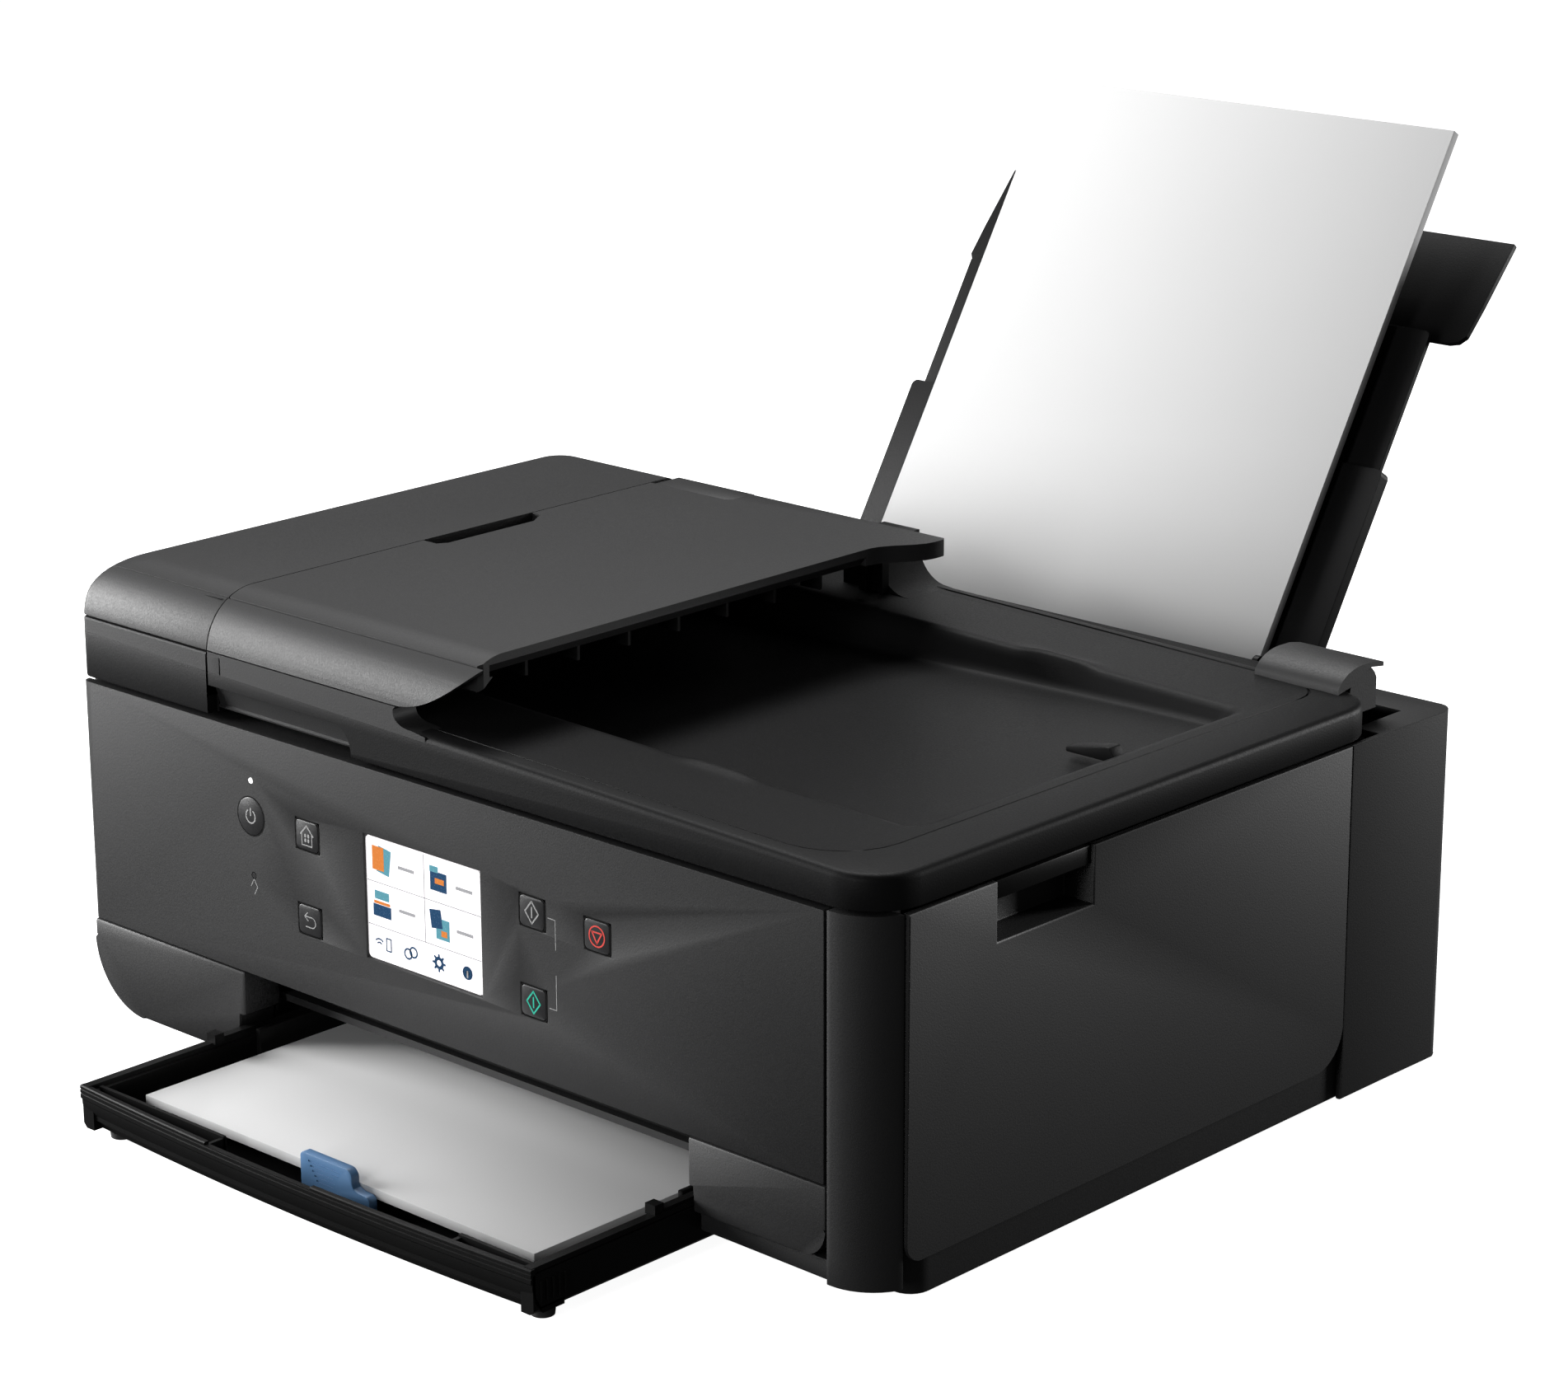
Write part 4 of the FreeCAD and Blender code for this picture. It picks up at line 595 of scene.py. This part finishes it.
def prism(shape, outline, axis, span):
    """An outline drawn in the plane square to the axis, pushed along it from end to end."""
    flat = [shape.verts.new((across, up, span[0])) for across, up in outline]
    face = shape.faces.new(flat)
    pushed = bmesh.ops.extrude_face_region(shape, geom=[face])["geom"]
    far = [item for item in pushed if isinstance(item, bmesh.types.BMVert)]
    bmesh.ops.translate(shape, verts=far, vec=(0, 0, span[1] - span[0]))
    turn = {
        "x": Matrix(((0, 0, 1), (1, 0, 0), (0, 1, 0))),
        "y": Matrix(((1, 0, 0), (0, 0, 1), (0, 1, 0))),
        "z": Matrix.Identity(3),
    }[axis]
    bmesh.ops.transform(shape, matrix=turn.to_4x4(), verts=flat + far)
    return flat + far


def drawn(outline, axis, span):
    shape = bmesh.new()
    prism(shape, outline, axis, span)
    return shape


def boxed(x, y, z):
    shape = bmesh.new()
    block(shape, x, y, z)
    return shape


def sided(side, near, far, middle=0):
    """A span on the left or right of the middle, its lower end first."""
    return sorted((middle + side * near, middle + side * far))


def ease(value):
    value = min(max(value, 0), 1)
    return value * value * (3 - 2 * value)


RIM_RIGHT, RIM_SLOPE, RIM_HEIGHT, LID_LOW = 190, 0.02, 164.6, 151
OUTER_RADII, GROOVE_RADII = (20, 6, 5, 22), (16, 6, 4, 28)
LANDING_X, LANDING_Y = (-127, 187), (21, 279.5)


def rim_ring(inset, height, slope=RIM_SLOPE):
    radii = [radius - inset for radius in OUTER_RADII]
    return (-215 + inset, 215 - inset), (inset, 290 - inset), radii, height, slope


def groove_ring(inset, height):
    radii = [radius - inset for radius in GROOVE_RADII]
    return (-205 + inset, 192 - inset), (8.5 + inset, 284.5 - inset), radii, height, RIM_SLOPE


lid = bmesh.new()
stacked(lid, [
    rim_ring(1.2, LID_LOW, 0), rim_ring(0.3, LID_LOW + 0.2, 0), rim_ring(0, LID_LOW + 1, 0),
    rim_ring(0, RIM_HEIGHT - 2.6), rim_ring(0.5, RIM_HEIGHT - 1.2), rim_ring(1.4, RIM_HEIGHT - 0.35),
    rim_ring(3, RIM_HEIGHT), groove_ring(-0.4, RIM_HEIGHT), groove_ring(-0.15, RIM_HEIGHT - 0.9),
    groove_ring(0.35, RIM_HEIGHT - 0.9), groove_ring(0.7, RIM_HEIGHT - 0.2),
    (LANDING_X, LANDING_Y, (0.3,) * 4, RIM_HEIGHT - 0.3, RIM_SLOPE),
])
NOTCH_LEFT, NOTCH_TOP, NOTCH_DEPTH = -134.9, 163, 11
notch_outline = [(NOTCH_LEFT, 150), (NOTCH_LEFT, NOTCH_TOP)]
notch_outline += arc((-62, 153), 10, 90, 0, 9) + [(-52, 150)]


def notched(shape):
    """Takes the finger notch and the fine upright gap beside it out of the lid's front."""
    shape = carved(shape, drawn(notch_outline, "y", (-2, NOTCH_DEPTH)))
    return carved(shape, boxed((-136.1, NOTCH_LEFT + 0.01), (-2, 5), (150, 180)))


lid = notched(lid)
for side in (-1, 1):
    lid = carved(lid, boxed(sided(side, 165, 183), (287.6, 292), (150, 161)))
top_sheet = [face for face in lid.faces if face.normal.z > 0.9 and face.calc_area() > 60000]
bmesh.ops.delete(lid, geom=top_sheet, context="FACES_ONLY")
done("document_cover_rim", lid, shaded_case_black, "cover", ("document_cover",))
slant = [(2.6, 163.4), (5.2, 154.6), (4.4, 153.9), (4.6, 153.2), (10.9, 153.2), (10.9, 163.4)]
notch_back = drawn(slant, "x", (-134.4, -52.4))
done("finger_notch_back", notch_back, case_black, "cover")

CELL = 2
FLOOR_LOW, FLOOR_RISE, FLOOR_START, FLOOR_RUN = 153.2, 4.2, -60, 240
LOBES, LOBE_REACH, LOBE_WIDTH, LOBE_BOW = ((93, 243, 1.7), (92, 52, 1.5)), 17, 3.6, 0.004
landing = bmesh.new()
across, back = LANDING_X[1] - LANDING_X[0], LANDING_Y[1] - LANDING_Y[0]
bmesh.ops.create_grid(landing, x_segments=int(across / CELL), y_segments=int(back / CELL), size=0.5)
for point in landing.verts:
    x = LANDING_X[0] + (point.co.x + 0.5) * across
    y = LANDING_Y[0] + (point.co.y + 0.5) * back
    level = RIM_HEIGHT - 0.3 - RIM_SLOPE * (x - RIM_RIGHT)
    floor_level = FLOOR_LOW + FLOOR_RISE * ease((x - FLOOR_START) / FLOOR_RUN)
    in_x, from_rear, from_front = ease((186 - x) / 10), ease((243 - y) / 9), ease((y - 50) / 14)
    lobes = 0.0
    for lobe_x, lobe_y, size in LOBES:
        bow = lobe_y - LOBE_BOW * (x - lobe_x) ** 2 * (1 if lobe_y < 100 else -1)
        lobes += size * math.exp(-((x - lobe_x) / LOBE_REACH) ** 4 - ((y - bow) / LOBE_WIDTH) ** 2)
    share = in_x * from_rear * from_front
    point.co = (x, y, level + (floor_level - level) * share + lobes)
done("document_landing", landing, shaded_case_black, "cover", smooth=60)

wedge = [(159, 160), (182, 160), (182, 161.5), (179.5, 165.6), (177, 165.6), (159, 162)]
stopper = drawn(wedge, "y", (166.5, 173.5))
bevelled(stopper, stopper.edges, 0.5, 2)
done("paper_stopper", stopper, shaded_case_black, "cover")


# ---- Feeder base ----
# The left part of the lid rises into the document feeder's lower case, with a well for its rollers, a
# band that closes its front, and a wall at the back that sweeps down to the rim in one curve.

CASE_X, WELL_X, WELL_Y = (-214.98, -127), (-211.5, -135.5), (26, 248)
base = bmesh.new()
stacked(base, [
    (CASE_X, (0.02, 270), (0.3, 6, 5, 0.3), 158, 0),
    (CASE_X, (0.02, 270), (0.3, 6, 5, 0.3), 175.2, 0),
    ((-214.4, -127.5), (0.6, 269.5), (0.3, 6, 4.4, 0.3), 175.8, 0),
    (WELL_X, WELL_Y, (0.3, 4, 4, 0.3), 175.8, 0),
    (WELL_X, WELL_Y, (0.3, 4, 4, 0.3), 170, 0),
])
base = notched(base)
done("feeder_base", base, case_black, "cover")

EXIT_X, EXIT_Y = (NOTCH_LEFT, CASE_X[1]), (14, 270)
slot_wall = bmesh.new()
block(slot_wall, EXIT_X, EXIT_Y, (175.8, 191.4))
block(slot_wall, EXIT_X, EXIT_Y, (156, 169))
for y in (EXIT_Y[0], 245):
    block(slot_wall, EXIT_X, (y, y + 20), (168, 177))
done("paper_exit_wall", slot_wall, inner_black, "cover")

BAND_END, BAND_TOP, RIM_NEAR = -26, 176.6, 168.9
band_outline = [(-128, 160), (-128, BAND_TOP), (BAND_END, BAND_TOP)]
for step in range(1, 10):
    turn = math.radians(10 * step)
    x = BAND_END - 1.5 + 11 * (1 - math.cos(turn)) ** 1.6
    band_outline.append((x, RIM_NEAR + (BAND_TOP - RIM_NEAR) * (1 - math.sin(turn))))
band = drawn(band_outline + [(-10, 168), (-10, 160)], "y", (0.02, 11.5))
done("feeder_front_band", notched(band), case_black, "cover")
band_left = boxed((-134.8, -127), (0.03, 11.5), (NOTCH_TOP, BAND_TOP))
done("feeder_band_end", band_left, case_black, "cover")

FALL_X, FALL_Z, FALL_RADIUS = -4.6, 168.3, 16
fall = arc((FALL_X, FALL_Z + FALL_RADIUS), FALL_RADIUS, 180, 270, 10)
tail = [(-40, 160), (-40, 190), (-20.6, 190)] + fall + [(-2, 168), (-2, 160)]
tail_wall = drawn(tail, "y", (263.2, 289.4))
bevelled(tail_wall, [e for e in tail_wall.edges if all(v.co.y > 280 for v in e.verts)], 0.6, 2)
# The rear wall is coloured darker than the case with painted shade.
done("feeder_rear_wall", tail_wall, shaded_case_black, "cover")

ribs = bmesh.new()
for x, width in ((-76, 1.6), (-66, 1.6), (-28, 4), (-16.5, 1.6)):
    block(ribs, (x, x + width), (259.4, 263.4), (160, 190))
done("feeder_rear_ribs", ribs, inner_black, "cover")


# ---- Feeder covers and document tray ----
# The feeder's curved front strip is fixed to the lid. The left cover swings up on its outer edge for
# clearing a jam, and the flat lid beside it opens to the right into the document tray.

NOSE_RADIUS, FEEDER_TOP, STRIP_LOW, CREASE = 24, 199, 177, 12.1


def nose(start, end, radius=NOSE_RADIUS):
    """The round front of the feeder, from one angle above the level to the other."""
    return [(NOSE_RADIUS - across, up + FEEDER_TOP - NOSE_RADIUS)
            for across, up in arc((0, 0), radius, start, end, 9)]


strip = drawn(nose(5, 59) + nose(59, 5, NOSE_RADIUS - 2.6), "x", (-134.9, 11))
curve = [(-30 + 41 * step / 12, 176.9 + 19.5 * (step / 12) ** 2.2) for step in range(13)]
strip = carved(strip, drawn([(-30, 170)] + curve + [(14, 198), (14, 170)], "y", (-3, 20)))
done("feeder_front_strip", strip, case_black, "cover", ("feeder_front_trim",))

SIDE_ROUND, REAR_ROUND = 15, 7
shell_rings = []
for step in range(1, 15):
    turn = math.radians(90 * step / 14)
    up = FEEDER_TOP - NOSE_RADIUS * (1 - math.sin(turn))
    front = NOSE_RADIUS * (1 - math.cos(turn))
    insets = []
    for radius in (SIDE_ROUND, REAR_ROUND):
        share = max(up - FEEDER_TOP + radius, 0) / radius
        insets.append(radius * (1 - math.sqrt(1 - share * share)))
    side, rear = insets
    spans = (-215 + side, -135.3), (front, 262 - rear)
    shell_rings.append((*spans, (0.3, 4 + side / 2, 5 + side / 2, 0.3), up, 0))
shell = bmesh.new()
stacked(shell, [(*shell_rings[0][:3], STRIP_LOW, 0)] + shell_rings)
open_foot = [face for face in shell.faces if all(v.co.z < STRIP_LOW + 0.01 for v in face.verts)]
bmesh.ops.delete(shell, geom=open_foot, context="FACES")
shell = carved(shell, boxed((-216, -130), (11.9, 12.3), (194.9, 200)))
bmesh.ops.remove_doubles(shell, verts=shell.verts, dist=0.01)
feeder_cover = done(
    "feeder_left_cover", shell, case_black, "feeder_cover", ("feeder_cover",),
)
wall = feeder_cover.modifiers.new("wall", "SOLIDIFY")
wall.thickness = 0.0024
wall.offset = -1

LID_FRONT, LID_LEFT, LID_BACK = CREASE + 0.3, -134.7, 262
outline = [(LID_LEFT, LID_FRONT), (6, LID_FRONT), (7.6, 14), (7.6, 226)]
outline += [(7.6 + 12.6 * ease(step / 6), 226 + 26 * step / 6) for step in range(1, 7)]
outline += arc((14.5, 255), 6, 20, 90, 5)
outline += [(-86, 261.6), (-88.5, 259), (-88.5, 247), (-91, 245), (LID_LEFT, 245)]
plate = drawn(outline, "z", (150, 205))
section = [(LID_FRONT, 186)] + nose(60, 90)
section += [(259, FEEDER_TOP), (LID_BACK, 197), (LID_BACK, 192), (20, 192)]
tray = carved(plate, drawn(section, "x", (-140, 30)), "INTERSECT")
finger_dip = [(-136, 114), (-127, 114), (-124.4, 118), (-124.4, 166), (-130, 175), (-136, 175)]
tray = carved(tray, drawn(finger_dip, "z", (193.5, 205)))
tray = carved(tray, boxed((-131, 2), (20, 240), (190, 193.6)))
tray = carved(tray, drawn([(3.4, 191), (8.4, 196.6), (12, 196.6), (12, 191)], "y", (17, 224)))
done("document_tray_lid", tray, case_black, "document_tray", ("document_tray",))

rear_plate = boxed((-134.6, -89.3), (245.8, 262), (192, 198.4))
bevelled(rear_plate, rear_plate.edges, 0.6, 2)
done("document_tray_corner", rear_plate, case_black, "document_tray")

RIB_COUNT, RIB_PITCH = 7, 27
ribs = bmesh.new()
for number in range(RIB_COUNT):
    y = 38 + number * RIB_PITCH
    block(ribs, (-6, 4.5), (y, y + 1.4), (186.5, 192.4))
done("document_tray_ribs", ribs, inner_black, "document_tray")

for place in ("front", "rear"):
    softened(f"{place}_document_guide", inner_black, f"{place}_document_guide", 0.4)
roller_rubber = finish(
    "roller_rubber", (0.035, 0.035, 0.036), (0.05, 0.05, 0.05), (0.7, 0.8), 500, 0.05,
)
keep(roller_rubber, "feeder_pickup_roller", "feeder_drive_roller", "feed_roller", "exit_roller")
keep(roller_rubber, "feet", "carriage_belt")


# ---- Hinge caps and pad ----
# Two curved caps at the back of the lid hide its hinges. Inside, a thin foam pad with a white face
# presses the document flat on the glass.

cap = bmesh.new()
CROWN_Y, CROWN_Z, CROWN_DEEP, CROWN_TALL = 297, 164.4, 16, 8.8
crown = [(CROWN_Y + CROWN_DEEP * y, CROWN_Z + CROWN_TALL * z) for y, z in arc((0, 0), 1, 180, 90, 8)]
for side in (-1, 1):
    prism(cap, crown + [(304, 173), (310.8, 171.6), (310.8, 169.8), (303, 171)]
          + [(296, 169.5), (290.5, 166)], "x", sided(side, 160, 200))
    knuckle = [(290.5, 153)] + arc((300.5, 162), 9.3, 150, 20, 8) + [(309.3, 153)]
    prism(cap, knuckle, "x", sided(side, 161, 198))
done("hinge_caps_moulding", cap, case_black, "cover", ("hinge_caps",))
pad_white = finish("pad_white", (0.72, 0.72, 0.71), (0.8, 0.8, 0.79), (0.5, 0.6), 700, 0.03)
keep(pad_white, "cover_pad")


# ---- Cassette ----
# The paper cassette is two black trays, one sliding in the other. The front one has a slightly bowed
# wall with two fine lines along its top and a curved underside, and a blue guide slides in it to hold
# the paper's front edge.

softened("cassette_tray", inner_black, "cassette", 0.4)
MOUTH_MIDDLE, MOUTH_HALF, BOW, BOW_RUNS = 1, 125, 4.4, 12
lip = [
    (-77.8, 22.8), (-79.6, 22.8), (-80, 22.4), (-80, 21.5), (-79.6, 21.2), (-80, 20.9), (-80, 19.7),
    (-79.6, 19.4), (-80, 19.1), (-80, 17.6), (-79.3, 16.8),
] + arc((-70, 16.4), 9.3, 180, 228, 6)
lip += [(-74.5, 5.2), (-64, 5.2), (-64, 7.7), (-76, 7.7), (-77.8, 9.5)]
front_wall = drawn(lip, "x", (MOUTH_MIDDLE - MOUTH_HALF, MOUTH_MIDDLE + MOUTH_HALF))
front_wall = carved(front_wall, boxed((-45, 15), (-82, -76), (21.7, 24)))
for run in range(1, BOW_RUNS):
    x = MOUTH_MIDDLE - MOUTH_HALF + 2 * MOUTH_HALF * run / BOW_RUNS
    bmesh.ops.bisect_plane(
        front_wall, geom=front_wall.verts[:] + front_wall.edges[:] + front_wall.faces[:],
        plane_co=(x, 0, 0), plane_no=(1, 0, 0),
    )
for point in front_wall.verts:
    point.co.y -= BOW * (1 - ((point.co.x - MOUTH_MIDDLE) / MOUTH_HALF) ** 2)
for wall_x, end_x, reach in (((-118.5, -45), (-46.6, -45), -82), ((84, 120.5), (84, 85.6), -80.4)):
    block(front_wall, wall_x, (-74.9, -73.3), (6, 22.2))
    block(front_wall, end_x, (reach, -73.8), (12, 21.4))
rails = bmesh.new()
for side in (-1, 1):
    rail = [
        (MOUTH_MIDDLE + side * across, up) for across, up in (
            (125, 7), (125, 20.4), (124.5, 20.8), (125, 21.4), (124.4, 23), (120.6, 23), (120.3, 21.2),
            (118.7, 21), (118.7, 5.2), (123.2, 5.2),
        )
    ]
    prism(rails, rail, "y", (-79, 78))
    block(rails, sided(side, 119, 124, MOUTH_MIDDLE), (-18, -13.5), (22.5, 26.6))
    block(rails, sided(side, 120.5, 124, MOUTH_MIDDLE), (-13.6, 8), (22.5, 24.2))
GRIP_RIBS, GRIP_FRONT, GRIP_PITCH = 5, -75.5, 2.9
for number in range(GRIP_RIBS):
    y = GRIP_FRONT + GRIP_PITCH * number
    block(rails, (125.5, 126.4), (y, y + 0.9), (9.5, 17.5))
block(rails, (-118, 120), (-72, 78), (5.3, 7.6))
done(
    "cassette_front_wall", front_wall, inner_black, "cassette_extension",
    ("cassette_extension",),
)
done("cassette_rails", rails, inner_black, "cassette_extension")
pads = bmesh.new()
for side in (-1, 1):
    bmesh.ops.create_cone(
        pads, cap_ends=True, segments=32, radius1=4.4, radius2=5, depth=5.4,
        matrix=Matrix.Translation((MOUTH_MIDDLE + side * 117, -67, 2.7)),
    )
done("cassette_pads", pads, roller_rubber, "cassette_extension")

guide_blue = finish("guide_blue", (0.085, 0.19, 0.36), (0.10, 0.22, 0.41), (0.36, 0.46), depth=0.01)
TAB_LEFT, TAB_RIGHT, TAB_FOOT = -11, 27, 8.2
tab = [(TAB_LEFT, TAB_FOOT), (TAB_RIGHT, TAB_FOOT)] + arc((24.6, 13.6), 2.4, 0, 90, 5)
tab += [(20.5, 16.2), (18.2, 17), (17.5, 18.6)] + arc((14, 20.5), 3.5, 0, 90, 6)
tab += arc((-9, 22), 2, 90, 180, 5)
guide = drawn(tab, "y", (-66.4, -62.5))
bevelled(guide, [e for e in guide.edges if abs(e.verts[0].co.y - e.verts[1].co.y) < 0.01], 0.35, 2)
ARROW_LINES, ARROW_TOP, ARROW_PITCH = 5, 20.9, 1.7
for number in range(ARROW_LINES):
    narrow = 1.1 * number
    up = ARROW_TOP - ARROW_PITCH * number
    guide = carved(guide, boxed((-6.5 + narrow, 11.5 - narrow), (-67, -66), (up, up + 0.7)))
block(guide, (-7, 7), (-66.9, -38), (8.3, 10.5))
done("cassette_blue_guide", guide, guide_blue, "end_guide", ("cassette_end_guide",))

paper_white = finish(
    "paper_white", (0.71, 0.71, 0.71), (0.75, 0.75, 0.75), (0.75, 0.85), 900, 0.012, 5.0,
)
softened("cassette_paper", paper_white, "cassette_paper", 0.25, 2.0)
softened("paper_output_tray", inner_black, "output_tray", 0.5)


# ---- Rear paper support ----
# The support is three telescoping mouldings that lean back from the hopper: two stages with turned
# edges, and a wide flap on two small pins that holds the top of tall sheets. All three are coloured
# darker than the case with painted shade.

softened("paper_support_lower", shaded_case_black, "support_lower", 0.5)
softened("paper_support_upper", shaded_case_black, "support_upper", 0.4)

TRAY_X, FOOT_Y, FOOT_Z, LEAN = 12, 315.9, 113.8, 31.7


def leaned(shape):
    """Turns a shape drawn along the sheets, y through them and z up them, into its place."""
    lean = Matrix.Rotation(math.radians(-LEAN), 4, "X")
    foot = Matrix.Translation((TRAY_X, FOOT_Y, FOOT_Z))
    bmesh.ops.transform(shape, matrix=foot @ lean, verts=shape.verts)
    return shape


FLAP_LEAN, FLAP_FOOT, FLAP_LENGTH = 10.8, (20.8, 195.1), 50.9
half = [(127, 0), (131.4, 1.2), (134, 4.6), (134.6, 20), (134.9, FLAP_LENGTH)]
flap = bmesh.new()
prism(flap, half + [(-x, z) for x, z in reversed(half)], "y", (0, 2.6))
bevelled(flap, flap.edges, 0.4, 2)
for side in (-1, 1):
    block(flap, sided(side, 118, 120), (2, 5), (8, FLAP_LENGTH - 4))
block(flap, (-120, 120), (2, 4.4), (FLAP_LENGTH - 5, FLAP_LENGTH - 3.4))
lean_more = Matrix.Translation((0, *FLAP_FOOT)) @ Matrix.Rotation(math.radians(-FLAP_LEAN), 4, "X")
bmesh.ops.transform(flap, matrix=lean_more, verts=flap.verts)
for side in (-1, 1):
    block(flap, sided(side, 78.6, 85.8), (14.9, 23.6), (189, 197))
done(
    "support_flap_moulding", leaned(flap), shaded_case_black, "support_flap",
    ("paper_support_flap",),
)

# A darker copy of the cassette paper's white: painted shade on the sheets that lean in the rear
# support.
shaded_paper_white = finish(
    "shaded_paper_white", (0.61, 0.61, 0.61), (0.64, 0.64, 0.64), (0.75, 0.85), 900, 0.012, 5.0,
)
softened("rear_paper", shaded_paper_white, "rear_paper", 0.25, 2.0)
for side in ("left", "right"):
    softened(f"{side}_rear_guide", inner_black, f"{side}_rear_guide", 0.4)


# ---- Print engine and electronics ----
# A folded steel frame holds the rollers and the shaft on which the carriage runs with its five ink
# tanks. They work over a ribbed bed, and the power supply and main board fill the rear left corner.

sheet_steel = finish(
    "sheet_steel", (0.42, 0.43, 0.44), (0.52, 0.53, 0.54), (0.3, 0.42), 250, 0.02, 14.0, 1.0,
)
keep(sheet_steel, "chassis_frame")
softened("print_carriage", inner_black, "carriage", 0.6)
keep(inner_black, "platen", "purge_unit")
tank_black = finish("tank_black", (0.03, 0.03, 0.035), (0.05, 0.05, 0.055), (0.2, 0.3), 500, 0.01)
keep(tank_black, "ink_tanks")
supply_grey = finish("supply_grey", (0.2, 0.2, 0.2), (0.26, 0.26, 0.26), (0.45, 0.55), 800, 0.03)
keep(supply_grey, "power_supply")
